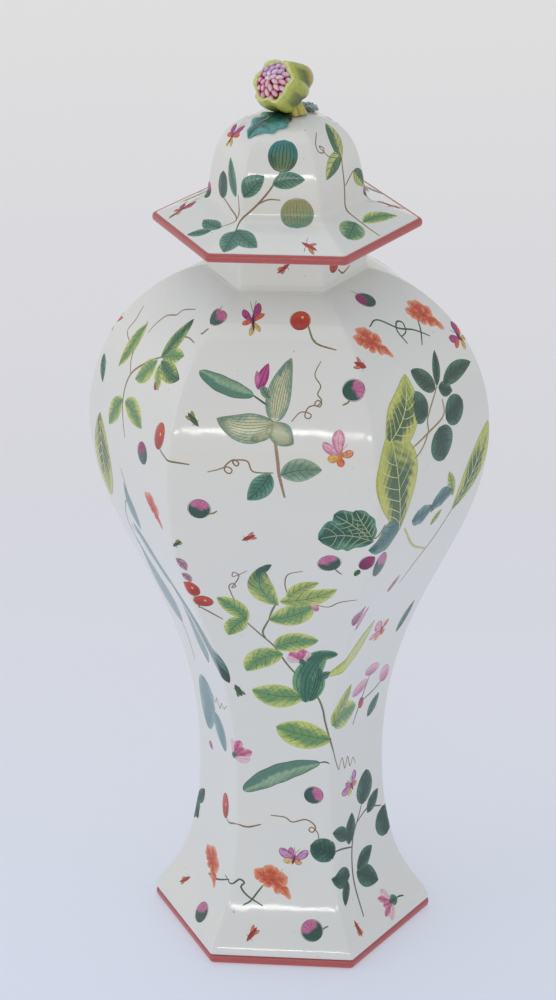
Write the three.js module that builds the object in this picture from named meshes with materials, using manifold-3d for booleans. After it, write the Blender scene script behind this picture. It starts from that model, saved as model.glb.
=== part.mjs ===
// Hexagonal covered jar in glazed porcelain, with a lift-off lid and a split-fruit finial.
// Millimetres, +Z up. The origin is the centre of the foot, on the surface the jar stands on,
// and one flat side of the jar faces -Y.
import * as THREE from "three";
import { mergeVertices } from "three/addons/utils/BufferGeometryUtils.js";
import Module from "manifold-3d";

const wasm = await Module();
wasm.setup();

// ---------------------------------------------------------------------------------------------
// Driving sizes. A corner radius is measured from the axis to a sharp corner of the hexagon.
// ---------------------------------------------------------------------------------------------
const gap = 0.3; // clearance between two pieces that touch
const wall = 6.0; // jar wall, square to its face
const lidWall = 4.5; // lid wall, square to its face
const arrisRadius = 3.0; // rounding of the six upright edges

const footCorner = 86.5; // foot, across to a corner
const footBand = 5.5; // height of the red band round the foot
const footEdge = 1.6; // upright white edge above the red band
const waistCorner = 56.6;
const waistHeight = 109;
const bellyCorner = 117.5;
const bellyHeight = 329;
const neckCorner = 45.9;
const neckHeight = 425.5; // where the neck rises from the shoulder
const neckRise = 23; // top of the neck above the shoulder
const floorHeight = 10; // underside of the floor above the surface the jar stands on
const floorThickness = 7;
const footRingWidth = 9; // width of the ring that the jar stands on
// The wall is thrown in sections, luted together part of the way up each curve.
const footSeamShare = 0.505; // of the rise from the ground to the waist
const waistSeamShare = 0.368; // of the rise from waist to belly
const shoulderSeamShare = 0.58; // of the rise from belly to neck

const lidCorner = 77.2; // brim, across to a corner
const brimLift = 3; // underside of the brim's edge above the mouth
const brimEdge = 4.8; // height of the brim's red edge
const brimBandWidth = 2.2; // how far in the red edge reaches
const domeCorner = 45.6; // dome, where it rises from the brim
const brimRise = 10.7; // from the top of the brim's edge up to the dome
const domeRise = 49.5;
const collarDepth = 13; // how far the lid's collar hangs into the neck
const collarClearance = 1.6; // all round, between collar and neck
const collarWall = 4;

const fruitRadius = 15;
const tipReach = 6.5; // how far the fruit's blunt tip stands out from its roundness
const fruitShift = new THREE.Vector2(-2.6, -1.2); // fruit's centre from the axis
const fruitLift = 0.4; // the fruit above the dome's top
const fruitTipTurn = 24; // degrees the tip is turned back from +X
const fruitTipRise = 14; // degrees the tip is raised
const splitTurn = 38; // degrees the split is turned from -Y towards -X
const splitRise = 34; // degrees the split looks up
const mouthRim = 3.4; // width of the rind round the seeds
const seedDepth = 8.6; // height of the mound of seeds
const seedStand = 1; // the seeds above the fruit's roundness
const stemFoot = 6.2; // radius of the stem where it meets the dome
const stemTop = 3.6;
const leafWidth = 17;
const leafThickness = 1.6;
const frontLeaf = { root: new THREE.Vector2(3, -4), heading: -49, reach: 30.5 };
const backLeaf = { root: new THREE.Vector2(6, 5), heading: 128, reach: 25 };

// ---------------------------------------------------------------------------------------------
// Profiles: lists of [corner radius, height], from a few Bezier arcs
// ---------------------------------------------------------------------------------------------
const cos30 = Math.cos(Math.PI / 6);
const point = (radius, height) => new THREE.Vector2(radius, height);

function arc(start, startHandle, endHandle, end, steps) {
  return new THREE.CubicBezierCurve(start, startHandle, endHandle, end).getPoints(steps);
}

function joinArcs(...arcs) {
  return arcs.flatMap((points, i) => (i === 0 ? points : points.slice(1)));
}

const footTop = footBand + footEdge;
const mouthHeight = neckHeight + neckRise;
const footSeam = footSeamShare * waistHeight;
const waistSeam = waistHeight + waistSeamShare * (bellyHeight - waistHeight);
const shoulderSeam = bellyHeight + shoulderSeamShare * (neckHeight - bellyHeight);
const lidHeight = mouthHeight + brimLift; // underside of the brim's edge
const domeFoot = lidHeight + brimEdge + brimRise;
const domeTop = domeFoot + domeRise;

function jarOutline() {
  const flare = footCorner - waistCorner;
  const swell = bellyCorner - waistCorner;
  const draw = bellyCorner - neckCorner;
  const lowerRise = waistHeight - footTop;
  const upperRise = bellyHeight - waistHeight;
  const shoulderRise = neckHeight - bellyHeight;
  return joinArcs(
    arc(
      point(footCorner, footTop),
      point(footCorner - 0.13 * flare, footTop + 0.14 * lowerRise),
      point(waistCorner, waistHeight - 0.78 * lowerRise),
      point(waistCorner, waistHeight),
      18
    ),
    arc(
      point(waistCorner, waistHeight),
      point(waistCorner, waistHeight + 0.51 * upperRise),
      point(waistCorner + swell, bellyHeight - 0.35 * upperRise),
      point(bellyCorner, bellyHeight),
      26
    ),
    arc(
      point(bellyCorner, bellyHeight),
      point(bellyCorner, bellyHeight + 0.58 * shoulderRise),
      point(neckCorner + 0.43 * draw, neckHeight - 0.04 * shoulderRise),
      point(neckCorner, neckHeight),
      24
    )
  );
}

function domeOutline() {
  return arc(
    point(domeCorner, domeFoot),
    point(domeCorner * 0.9, domeFoot + 0.64 * domeRise),
    point(domeCorner * 0.88, domeTop),
    point(0, domeTop),
    24
  );
}

// Moves a profile inwards by the wall, square to the face of the hexagon.
function insetProfile(profile, thickness) {
  return profile.map((here, i) => {
    const before = profile[Math.max(i - 1, 0)];
    const after = profile[Math.min(i + 1, profile.length - 1)];
    const along = new THREE.Vector2((after.x - before.x) * cos30, after.y - before.y).normalize();
    const apothem = here.x * cos30 - along.y * thickness;
    return point(apothem / cos30, here.y + along.x * thickness);
  });
}

// The point where a rising profile passes a height.
function pointAt(profile, height) {
  const above = Math.max(profile.findIndex((p) => p.y >= height), 1);
  const [low, high] = [profile[above - 1], profile[above]];
  return point(low.x + ((height - low.y) / (high.y - low.y)) * (high.x - low.x), height);
}

// The stretch of a rising profile between two heights.
function between(profile, low, high) {
  const inner = profile.filter((p) => p.y > low && p.y < high);
  return [pointAt(profile, low), ...inner, pointAt(profile, high)];
}

// ---------------------------------------------------------------------------------------------
// Solids
// ---------------------------------------------------------------------------------------------
const arrisSteps = 2;

// One ring of points round a hexagon with rounded corners.
function hexRing(corner, height) {
  if (corner < 1e-6) {
    return [new THREE.Vector3(0, 0, height)];
  }
  const radius = Math.min(arrisRadius, corner * 0.3);
  const centre = corner - radius / cos30;
  const ring = [];
  for (let side = 0; side < 6; side += 1) {
    const turn = (side + 0.5) * (Math.PI / 3);
    for (let i = 0; i <= arrisSteps; i += 1) {
      const angle = turn + (i / arrisSteps - 0.5) * (Math.PI / 3);
      ring.push(
        new THREE.Vector3(
          centre * Math.sin(turn) + radius * Math.sin(angle),
          -centre * Math.cos(turn) - radius * Math.cos(angle),
          height
        )
      );
    }
  }
  return ring;
}

// Skins a row of rings, each a closed loop or a single point, into one closed surface. A profile
// that starts and ends away from the axis is joined end to start.
function skin(rings) {
  const closes = rings[0].length > 1;
  const starts = [];
  const positions = [];
  for (const ring of rings) {
    starts.push(positions.length / 3);
    ring.forEach((p) => positions.push(p.x, p.y, p.z));
  }
  const index = [];
  const bands = closes ? rings.length : rings.length - 1;
  for (let band = 0; band < bands; band += 1) {
    const next = (band + 1) % rings.length;
    const count = Math.max(rings[band].length, rings[next].length);
    for (let i = 0; i < count; i += 1) {
      const j = (i + 1) % count;
      const low = (k) => starts[band] + (rings[band].length > 1 ? k : 0);
      const high = (k) => starts[next] + (rings[next].length > 1 ? k : 0);
      if (rings[band].length > 1) {
        index.push(low(i), low(j), high(j));
      }
      if (rings[next].length > 1) {
        index.push(low(i), high(j), high(i));
      }
    }
  }
  const geometry = new THREE.BufferGeometry();
  geometry.setAttribute("position", new THREE.Float32BufferAttribute(positions, 3));
  geometry.setIndex(index);
  return geometry;
}

// A hexagonal solid from its cross-section, listed with the material on its left hand going up
// the outside.
function hexSolid(profile) {
  return skin(profile.map((p) => hexRing(p.x, p.y)));
}

function toManifold(geometry) {
  const bare = geometry.clone();
  bare.deleteAttribute("normal");
  bare.deleteAttribute("uv");
  const merged = mergeVertices(bare, 1e-5);
  return new wasm.Manifold(
    new wasm.Mesh({
      numProp: 3,
      vertProperties: new Float32Array(merged.attributes.position.array),
      triVerts: new Uint32Array(merged.index.array),
    })
  );
}

function fromManifold(solid) {
  const mesh = solid.getMesh();
  const geometry = new THREE.BufferGeometry();
  geometry.setAttribute("position", new THREE.BufferAttribute(mesh.vertProperties, 3));
  geometry.setIndex(new THREE.BufferAttribute(mesh.triVerts, 1));
  return geometry;
}

// ---------------------------------------------------------------------------------------------
// Materials and assembly
// ---------------------------------------------------------------------------------------------
const glaze = new THREE.MeshStandardMaterial({ color: 0xd9dcdd, roughness: 0.12, metalness: 0 });
const redEnamel = new THREE.MeshStandardMaterial({ color: 0xa04a44, roughness: 0.3, metalness: 0 });
const rindGreen = new THREE.MeshStandardMaterial({ color: 0xb4bb5c, roughness: 0.3, metalness: 0 });
const seedPink = new THREE.MeshStandardMaterial({ color: 0xd79cb8, roughness: 0.3, metalness: 0 });
const leafTeal = new THREE.MeshStandardMaterial({ color: 0x4d8f86, roughness: 0.3, metalness: 0 });

const jar = new THREE.Group();
const lid = new THREE.Group();
const part = new THREE.Group();
part.add(jar, lid);

function addPiece(group, name, geometry, material) {
  const flat = geometry.index ? geometry.toNonIndexed() : geometry;
  flat.computeVertexNormals();
  const mesh = new THREE.Mesh(flat, material);
  mesh.name = name;
  group.add(mesh);
  return mesh;
}

// ---------------------------------------------------------------------------------------------
// Jar
// ---------------------------------------------------------------------------------------------
const wallCorner = wall / cos30;
const floorTop = floorHeight + floorThickness;
const wallFoot = footBand + gap;
const neckBore = neckCorner - wallCorner;
const outside = [point(footCorner, wallFoot), ...jarOutline()];
const inside = insetProfile(jarOutline(), wall).filter((p) => p.y > floorHeight);
inside.unshift(point(footCorner - footRingWidth / cos30, wallFoot));
inside[inside.length - 1] = point(neckBore, neckHeight);

// One luted section of the wall, between two heights.
function wallSection(low, high) {
  return hexSolid([...between(outside, low, high), ...between(inside, low, high).reverse()]);
}

function footRing() {
  const inner = footCorner - footRingWidth / cos30;
  return hexSolid([
    point(inner, 0),
    point(footCorner, 0),
    point(footCorner, footBand),
    point(inner, footBand),
  ]);
}

function floorPlate() {
  const edge = pointAt(inside, floorTop).x - gap / cos30;
  return hexSolid([
    point(0, floorHeight),
    point(edge, floorHeight),
    point(edge, floorTop),
    point(0, floorTop),
  ]);
}

function neckCollar() {
  const base = neckHeight + gap;
  const lip = 1.2;
  return hexSolid([
    point(neckBore, base),
    point(neckCorner, base),
    point(neckCorner, mouthHeight - lip),
    point(neckCorner - lip, mouthHeight),
    point(neckBore + lip, mouthHeight),
    point(neckBore, mouthHeight - lip),
  ]);
}

addPiece(jar, "foot_ring", footRing(), redEnamel);
addPiece(jar, "jar_foot", wallSection(wallFoot, footSeam), glaze);
addPiece(jar, "jar_waist", wallSection(footSeam + gap, waistSeam), glaze);
addPiece(jar, "jar_belly", wallSection(waistSeam + gap, shoulderSeam), glaze);
addPiece(jar, "jar_shoulder", wallSection(shoulderSeam + gap, neckHeight), glaze);
addPiece(jar, "jar_floor", floorPlate(), glaze);
addPiece(jar, "jar_neck", neckCollar(), glaze);

// ---------------------------------------------------------------------------------------------
// Lid
// ---------------------------------------------------------------------------------------------
const lidWallCorner = lidWall / cos30;
const brimTop = lidHeight + brimEdge;
const brimCorner = lidCorner - brimBandWidth / cos30;
const collarCorner = neckBore - collarClearance / cos30;
const collarBore = collarCorner - collarWall / cos30;
const brimRest = mouthHeight + gap; // the brim's flat underside, resting on the neck

function brimBand() {
  const edge = brimEdge / 2;
  return hexSolid([
    point(brimCorner + gap, lidHeight),
    point(lidCorner - edge * 0.45, lidHeight),
    point(lidCorner, lidHeight + edge * 0.6),
    point(lidCorner, brimTop - edge * 0.6),
    point(lidCorner - edge * 0.45, brimTop),
    point(brimCorner + gap, brimTop),
  ]);
}

function brim() {
  const slope = (domeFoot - brimTop) / (brimCorner - domeCorner);
  const seatCorner = neckCorner + lidWallCorner;
  return hexSolid([
    point(collarBore, brimRest),
    point(seatCorner, brimRest),
    point(brimCorner, lidHeight),
    point(brimCorner, brimTop),
    point(domeCorner, brimTop + slope * (brimCorner - domeCorner) - gap),
    point(collarBore, domeFoot - gap),
  ]);
}

function dome() {
  const shell = domeOutline();
  const cavity = insetProfile(shell, lidWall).filter((p) => p.x > 1 && p.y > domeFoot);
  const under = [point(domeCorner - lidWallCorner, domeFoot)];
  const top = point(0, domeTop - lidWall);
  return hexSolid([top, ...cavity.reverse(), ...under, ...shell]);
}

function lidCollar() {
  const top = brimRest - gap;
  return hexSolid([
    point(collarBore, top - collarDepth),
    point(collarCorner, top - collarDepth),
    point(collarCorner, top),
    point(collarBore, top),
  ]);
}

addPiece(lid, "lid_brim", brim(), glaze);
addPiece(lid, "lid_band", brimBand(), redEnamel);
addPiece(lid, "lid_dome", dome(), glaze);
addPiece(lid, "lid_collar", lidCollar(), glaze);

// ---------------------------------------------------------------------------------------------
// Finial: a split fruit on a short stem, with two leaves laid on the dome
// ---------------------------------------------------------------------------------------------
const fruitLength = fruitRadius + tipReach; // centre of the fruit to its tip
const seedRadius = fruitRadius - mouthRim;
const splitDepth = fruitRadius + seedStand - seedDepth; // centre of the fruit to that of the seeds
const fruitHeight = domeTop + fruitLift + fruitRadius;
const fruitCentre = new THREE.Vector3(fruitShift.x, fruitShift.y, fruitHeight);

function direction(turnDegrees, riseDegrees) {
  const turn = THREE.MathUtils.degToRad(turnDegrees);
  const rise = THREE.MathUtils.degToRad(riseDegrees);
  const level = Math.cos(rise);
  return new THREE.Vector3(Math.sin(turn) * level, -Math.cos(turn) * level, Math.sin(rise));
}

// Lathed about +Y, then turned to point along an axis.
function turnedSolid(profile, axis, centre, segments) {
  const geometry = new THREE.LatheGeometry(profile, segments);
  geometry.applyQuaternion(new THREE.Quaternion().setFromUnitVectors(new THREE.Vector3(0, 1, 0), axis));
  geometry.translate(centre.x, centre.y, centre.z);
  return toManifold(geometry);
}

function fruitShape(grow) {
  const radius = fruitRadius + grow;
  const length = fruitLength + grow;
  const profile = [];
  const steps = 14;
  for (let i = 0; i <= steps; i += 1) {
    const angle = (i / steps - 0.5) * Math.PI;
    const reach = angle > 0 ? length : radius;
    const taper = angle > 0 ? Math.cos(angle) ** 1.25 : Math.cos(angle);
    profile.push(point(Math.max(taper * radius, 0), reach * Math.sin(angle)));
  }
  return turnedSolid(profile, direction(90 + fruitTipTurn, fruitTipRise), fruitCentre, 32);
}

function seedShape(grow) {
  const axis = direction(-splitTurn, splitRise);
  const centre = fruitCentre.clone().addScaledVector(axis, splitDepth);
  const profile = [];
  const steps = 12;
  for (let i = 0; i <= steps; i += 1) {
    const angle = (i / steps - 0.5) * Math.PI;
    profile.push(point((seedRadius + grow) * Math.cos(angle), (seedDepth + grow) * Math.sin(angle)));
  }
  return turnedSolid(profile, axis, centre, 28);
}

function stemShape(grow) {
  const foot = domeTop + (grow > 0 ? -gap : gap);
  const top = fruitCentre.z - fruitRadius * 0.55 + grow;
  const profile = [point(0, 0), point(stemFoot + grow, 0), point(stemTop + grow, top - foot), point(0, top - foot)];
  const shape = new THREE.LatheGeometry(profile, 20);
  shape.rotateX(Math.PI / 2);
  shape.translate(fruitCentre.x + fruitRadius * 0.5, fruitCentre.y, foot);
  return toManifold(shape);
}

addPiece(lid, "finial_rind", fromManifold(fruitShape(0).subtract(seedShape(gap)).subtract(stemShape(gap))), rindGreen);
addPiece(lid, "finial_seeds", fromManifold(seedShape(0)), seedPink);
addPiece(lid, "finial_stem", fromManifold(stemShape(0)), rindGreen);

// Height of the dome's surface over a point, taking the corners as sharp.
function domeHeightAt(x, y) {
  let apothem = 0;
  for (let side = 0; side < 6; side += 1) {
    const turn = side * (Math.PI / 3);
    apothem = Math.max(apothem, x * Math.sin(turn) - y * Math.cos(turn));
  }
  const corner = apothem / cos30;
  const shell = domeOutline();
  const last = shell.findIndex((p) => p.x <= corner);
  const outer = shell[last - 1];
  const inner = shell[last];
  const share = (outer.x - corner) / (outer.x - inner.x);
  return outer.y + share * (inner.y - outer.y);
}

// A leaf laid on the dome, from its root to its tip, as a closed lens-shaped solid. Its reach is
// taken from above, and its heading is turned from -Y towards +X.
function leafSolid({ root, heading, reach: length }) {
  const turn = THREE.MathUtils.degToRad(heading);
  const along = new THREE.Vector2(Math.sin(turn), -Math.cos(turn));
  const across = new THREE.Vector2(-along.y, along.x);
  const steps = 12;
  const spread = 6;
  const rings = [[]];
  const place = (s, t, lift) => {
    const width = (leafWidth / 2) * Math.sin(Math.PI * s ** 0.8);
    const reach = length * s;
    const x = root.x + along.x * reach + across.x * width * t;
    const y = root.y + along.y * reach + across.y * width * t;
    return new THREE.Vector3(x, y, domeHeightAt(x, y) + gap * 2 + lift * leafThickness);
  };
  rings[0].push(place(0, 0, 0.5));
  for (let i = 1; i < steps; i += 1) {
    const s = i / steps;
    const ring = [];
    for (let j = spread; j >= -spread; j -= 1) {
      ring.push(place(s, j / spread, 0.35 + 0.65 * (1 - (j / spread) ** 2)));
    }
    for (let j = -spread; j <= spread; j += 1) {
      ring.push(place(s, j / spread, 0));
    }
    rings.push(ring);
  }
  rings.push([place(1, 0, 0.3)]);
  return skin(rings);
}

function leaf(place) {
  const solid = toManifold(leafSolid(place));
  return fromManifold(solid.subtract(fruitShape(gap)).subtract(stemShape(gap)));
}

addPiece(lid, "finial_leaf_front", leaf(frontLeaf), leafTeal);
addPiece(lid, "finial_leaf_back", leaf(backLeaf), leafTeal);

export default part;
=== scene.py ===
"""Hexagonal covered jar in glazed porcelain, painted in raised overglaze enamels.

Sizes in the classes are in millimetres, and become metres as each mesh is made.
"""
import logging
import math
from collections.abc import Callable
from dataclasses import dataclass
from enum import Enum

import bpy
import bmesh
import numpy as np
from mathutils import Matrix, Vector


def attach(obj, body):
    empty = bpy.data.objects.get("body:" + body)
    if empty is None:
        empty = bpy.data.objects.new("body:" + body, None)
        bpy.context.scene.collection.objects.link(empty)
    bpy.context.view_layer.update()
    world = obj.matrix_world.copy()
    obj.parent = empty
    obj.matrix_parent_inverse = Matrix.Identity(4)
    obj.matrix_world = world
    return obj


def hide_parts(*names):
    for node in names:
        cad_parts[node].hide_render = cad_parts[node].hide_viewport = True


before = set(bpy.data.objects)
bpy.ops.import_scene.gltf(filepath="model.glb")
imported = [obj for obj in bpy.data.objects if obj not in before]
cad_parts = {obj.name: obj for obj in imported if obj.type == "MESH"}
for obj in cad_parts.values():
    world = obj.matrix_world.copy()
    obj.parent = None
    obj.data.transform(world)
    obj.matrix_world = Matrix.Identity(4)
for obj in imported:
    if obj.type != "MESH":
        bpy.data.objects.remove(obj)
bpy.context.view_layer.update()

LOG = logging.getLogger("ginger_jar")
MM = 0.001
COS30 = math.cos(math.pi / 6)
GOLDEN_TURN = 2.39996
ARRIS_SHARE = 0.3
FACE_STATIONS = (-0.93, -0.4, 0.4, 0.93)
ARRIS_STEPS = 6
WHITE = (1, 1, 1, 1)
BLACK = (0, 0, 0, 1)
TINY = 1e-9

Array = np.ndarray
Material = bpy.types.Material
Colour = tuple[int, int, int]
Pair = tuple[float, float]
Place = tuple[float, ...]
Wing = tuple[float, float, float, float, Colour, Colour]


# ---- Shader bench ----
def linear(colour: Colour) -> tuple[float, float, float, float]:
    """Turns a colour of 0 to 255 on screen into the linear colour that a shader takes.

    Args:
        colour: the colour on screen.

    Returns:
        Red, green, blue and alpha.
    """
    values = np.array(colour) / 255
    values = np.where(values <= 0.04045, values / 12.92, ((values + 0.055) / 1.055) ** 2.4)
    return (*(float(v) for v in values), 1.0)


def paint(colour: Colour) -> Array:
    """The same linear colour, as the three values that a mesh corner carries."""
    return np.array(linear(colour)[:3])


def set_stops(ramp: bpy.types.ColorRamp, stops: list[tuple[float, tuple]]) -> None:
    """Gives a ramp its stops.

    Args:
        ramp: the ramp to change.
        stops: position and colour of each stop.
    """
    while len(ramp.elements) < len(stops):
        ramp.elements.new(1.0)
    for element, (position, colour) in zip(ramp.elements, stops):
        element.position = position
        element.color = colour


class Wire:
    """A node's output, which adds Math nodes as it is worked on."""

    def __init__(self, bench: "Bench", socket: bpy.types.NodeSocket) -> None:
        """Keeps the socket and the bench that it is on."""
        self.bench = bench
        self.socket = socket

    def _math(self, operation: str, first: object, second: object) -> "Wire":
        """Adds one Math node."""
        return self.bench.node("ShaderNodeMath", {"operation": operation}, {0: first, 1: second})

    def __add__(self, other: object) -> "Wire":
        """Sum."""
        return self._math("ADD", self, other)

    def __radd__(self, other: object) -> "Wire":
        """Sum, with the wire on the right."""
        return self._math("ADD", other, self)

    def __sub__(self, other: object) -> "Wire":
        """Difference."""
        return self._math("SUBTRACT", self, other)

    def __rsub__(self, other: object) -> "Wire":
        """Difference, with the wire on the right."""
        return self._math("SUBTRACT", other, self)

    def __mul__(self, other: object) -> "Wire":
        """Product."""
        return self._math("MULTIPLY", self, other)

    def __rmul__(self, other: object) -> "Wire":
        """Product, with the wire on the right."""
        return self._math("MULTIPLY", other, self)


class Bench:
    """A material and the nodes that are added to it."""

    def __init__(self, name: str) -> None:
        """Starts a material with its Principled shader.

        Args:
            name: name of the material.
        """
        self.material = bpy.data.materials.new(name)
        self.material.use_nodes = True
        self.tree = self.material.node_tree
        self.shader = self.tree.nodes["Principled BSDF"]

    def node(self, kind: str, settings: dict, inputs: dict, output: object = 0) -> Wire:
        """Adds any node.

        Args:
            kind: the node's type.
            settings: the node's own settings, and "stops" for a ramp, set before its sockets.
            inputs: values or wires, by socket name or number.
            output: name or number of the output to return.

        Returns:
            The wire from that output.
        """
        made = self.tree.nodes.new(kind)
        for key, value in settings.items():
            if key == "stops":
                set_stops(made.color_ramp, value)
            else:
                setattr(made, key, value)
        for key, value in inputs.items():
            self.feed(made.inputs[key], value)
        return Wire(self, made.outputs[output])

    def feed(self, socket: bpy.types.NodeSocket, value: object) -> None:
        """Links a wire to a socket, or sets a plain value on it.

        Args:
            socket: the input to set.
            value: a wire or a plain value.
        """
        if isinstance(value, Wire):
            self.tree.links.new(value.socket, socket)
        else:
            socket.default_value = value

    def mix(self, share: object, first: object, second: object) -> Wire:
        """Mixes two colours by a share."""
        return self.node(
            "ShaderNodeMix", {"data_type": "RGBA"}, {"Factor": share, 6: first, 7: second}, 2
        )

    def noise(self, place: Wire, scale: float, detail: float = 3.0) -> Wire:
        """Adds a noise texture."""
        return self.node(
            "ShaderNodeTexNoise", {}, {"Vector": place, "Scale": scale, "Detail": detail}, 0
        )

    def ramp(self, value: Wire, stops: list[tuple[float, tuple]]) -> Wire:
        """Adds a colour ramp with these stops."""
        return self.node("ShaderNodeValToRGB", {"stops": stops}, {0: value})

    def place(self) -> Wire:
        """The position on the object, in metres."""
        return self.node("ShaderNodeTexCoord", {}, {}, "Object")

    def bump(self, height: Wire, distance: float) -> Wire:
        """Adds a Bump node for a height of 0 to 1 and a distance in metres."""
        return self.node(
            "ShaderNodeBump", {}, {"Height": height, "Strength": 1.0, "Distance": distance}
        )

    def dress(self, **inputs: object) -> Material:
        """Sets the shader's sockets, named with underscores for spaces.

        Args:
            inputs: values or wires.

        Returns:
            The material.
        """
        for key, value in inputs.items():
            self.feed(self.shader.inputs[key.replace("_", " ")], value)
        return self.material


# ---- Finishes ----
@dataclass(frozen=True)
class PorcelainGlaze:
    """Clear glaze over white porcelain, with a slightly wavy face and a few specks."""

    body: Colour = (236, 234, 227)
    pooled: Colour = (228, 229, 227)
    speck: Colour = (160, 160, 150)
    wave_mm: float = 0.6

    def make(self) -> Material:
        """Makes the glaze.

        Returns:
            The material.
        """
        bench = Bench("porcelain_glaze")
        place = bench.place()
        cloud = bench.noise(place, 14.0, 4.0)
        colour = bench.mix(cloud, linear(self.body), linear(self.pooled))
        stops = [(0.0, BLACK), (0.79, BLACK), (0.83, WHITE)]
        pits = bench.ramp(bench.noise(place, 420.0, 1.0), stops)
        colour = bench.mix(pits, colour, linear(self.speck))
        wave = bench.noise(place, 26.0, 1.0)
        peel = bench.noise(place, 160.0, 2.0)
        return bench.dress(
            Base_Color=colour,
            Roughness=0.06 + 0.07 * bench.noise(place, 60.0),
            Normal=bench.bump(
                wave + 0.22 * bench.noise(place, 75.0, 1.0) + 0.05 * peel, self.wave_mm * MM
            ),
            IOR=1.5,
            Coat_Weight=0.25,
            Coat_Roughness=0.04,
        )


@dataclass(frozen=True)
class IronRed:
    """Brushed iron-red enamel, thinner and more orange where it runs off an edge."""

    deep: Colour = (176, 78, 80)
    thin: Colour = (206, 104, 94)
    low_mm: float = 0.0
    high_mm: float = 5.5

    def make(self, name: str) -> Material:
        """Makes the enamel for a band between two heights.

        Args:
            name: name of the material.

        Returns:
            The material.
        """
        bench = Bench(name)
        place = bench.place()
        height = bench.node("ShaderNodeSeparateXYZ", {}, {0: place}, 2)
        share = (height - self.low_mm * MM) * (1 / ((self.high_mm - self.low_mm) * MM))
        edge = bench.ramp(share, [(0.0, WHITE), (0.3, (0.25, 0.25, 0.25, 1)), (1.0, BLACK)])
        streak = bench.noise(
            bench.node("ShaderNodeMapping", {}, {"Vector": place, "Scale": (1, 1, 9)}), 70.0, 5.0
        )
        colour = bench.mix(edge * 0.7 + 0.45 * streak - 0.1, linear(self.deep), linear(self.thin))
        return bench.dress(
            Base_Color=colour,
            Roughness=0.16 + 0.2 * streak,
            Normal=bench.bump(streak, 0.12 * MM),
            Coat_Weight=0.3,
            Coat_Roughness=0.1,
        )


@dataclass(frozen=True)
class Biscuit:
    """Unglazed porcelain, as on a foot that is wiped clean before the firing."""

    body: Colour = (214, 208, 196)
    toasted: Colour = (190, 168, 140)

    def make(self) -> Material:
        """Makes the biscuit.

        Returns:
            The material.
        """
        bench = Bench("biscuit_porcelain")
        place = bench.place()
        burn = bench.noise(place, 40.0, 6.0)
        grain = bench.noise(place, 900.0, 2.0)
        return bench.dress(
            Base_Color=bench.mix(0.6 * burn, linear(self.body), linear(self.toasted)),
            Roughness=0.55 + 0.25 * grain,
            Normal=bench.bump(grain, 0.15 * MM),
        )


@dataclass(frozen=True)
class RaisedEnamel:
    """Glassy enamels, laid on by brush: the colour of each stroke is on its mesh."""

    attribute: str = "enamel"

    def make(self) -> Material:
        """Makes the enamel.

        Returns:
            The material.
        """
        bench = Bench("overglaze_enamel")
        place = bench.place()
        laid = bench.node("ShaderNodeAttribute", {"attribute_name": self.attribute}, {}, "Color")
        mottle = bench.noise(place, 700.0, 3.0)
        tone = bench.ramp(mottle, [(0.25, (0.80, 0.80, 0.80, 1)), (0.75, (1.12, 1.12, 1.12, 1))])
        colour = bench.node(
            "ShaderNodeMix", {"data_type": "RGBA", "blend_type": "MULTIPLY"},
            {"Factor": 1.0, 6: laid, 7: tone}, 2
        )
        return bench.dress(
            Base_Color=colour,
            Roughness=0.14 + 0.18 * mottle,
            Normal=bench.bump(mottle, 0.05 * MM),
            Coat_Weight=0.25,
            Coat_Roughness=0.08,
        )


class Finish(Enum):
    """The finishes that the pieces carry, by the record's slot."""

    JAR_GLAZE = "jar_glaze"
    LID_GLAZE = "lid_glaze"
    RED_ENAMEL = "red_enamel"
    RIND = "rind_enamel"
    SEEDS = "seed_enamel"
    LEAVES = "leaf_enamel"


# ---- Meshes ----
def add_object(name: str, data: bpy.types.ID) -> bpy.types.Object:
    """Adds an object to the scene.

    Args:
        name: its name.
        data: its mesh, light or camera.

    Returns:
        The object.
    """
    made = bpy.data.objects.new(name, data)
    bpy.context.scene.collection.objects.link(made)
    return made


@dataclass
class Piece:
    """A mesh that is gathered in millimetres and then made into an object."""

    name: str
    body: str
    slot: Finish
    material: Material
    replaces: tuple[str, ...] = ()
    sharp_degrees: float = 60.0

    def make(self, points: Array, faces: list, colours: Array | None = None) -> bpy.types.Object:
        """Makes the object.

        Args:
            points: corners in millimetres.
            faces: lists of corner numbers.
            colours: linear colour of each corner, if the piece is painted.

        Returns:
            The object, riding on its body.
        """
        mesh = bpy.data.meshes.new(self.name)
        mesh.from_pydata((np.asarray(points) * MM).tolist(), [], faces)
        if colours is not None:
            layer = mesh.color_attributes.new("enamel", "FLOAT_COLOR", "POINT")
            shades = np.concatenate([colours, np.ones((len(colours), 1))], axis=1)
            layer.data.foreach_set("color", shades.astype(np.float32).ravel())
        work = bmesh.new()
        work.from_mesh(mesh)
        bmesh.ops.recalc_face_normals(work, faces=work.faces)
        work.to_mesh(mesh)
        work.free()
        mesh.polygons.foreach_set("use_smooth", [True] * len(mesh.polygons))
        mesh.set_sharp_from_angle(angle=math.radians(self.sharp_degrees))
        mesh.materials.append(self.material)
        made = add_object(self.name, mesh)
        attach(made, self.body)
        if self.replaces:
            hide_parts(*self.replaces)
        LOG.info("%s: %d points, %d faces", self.name, len(points), len(faces))
        return made


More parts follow.
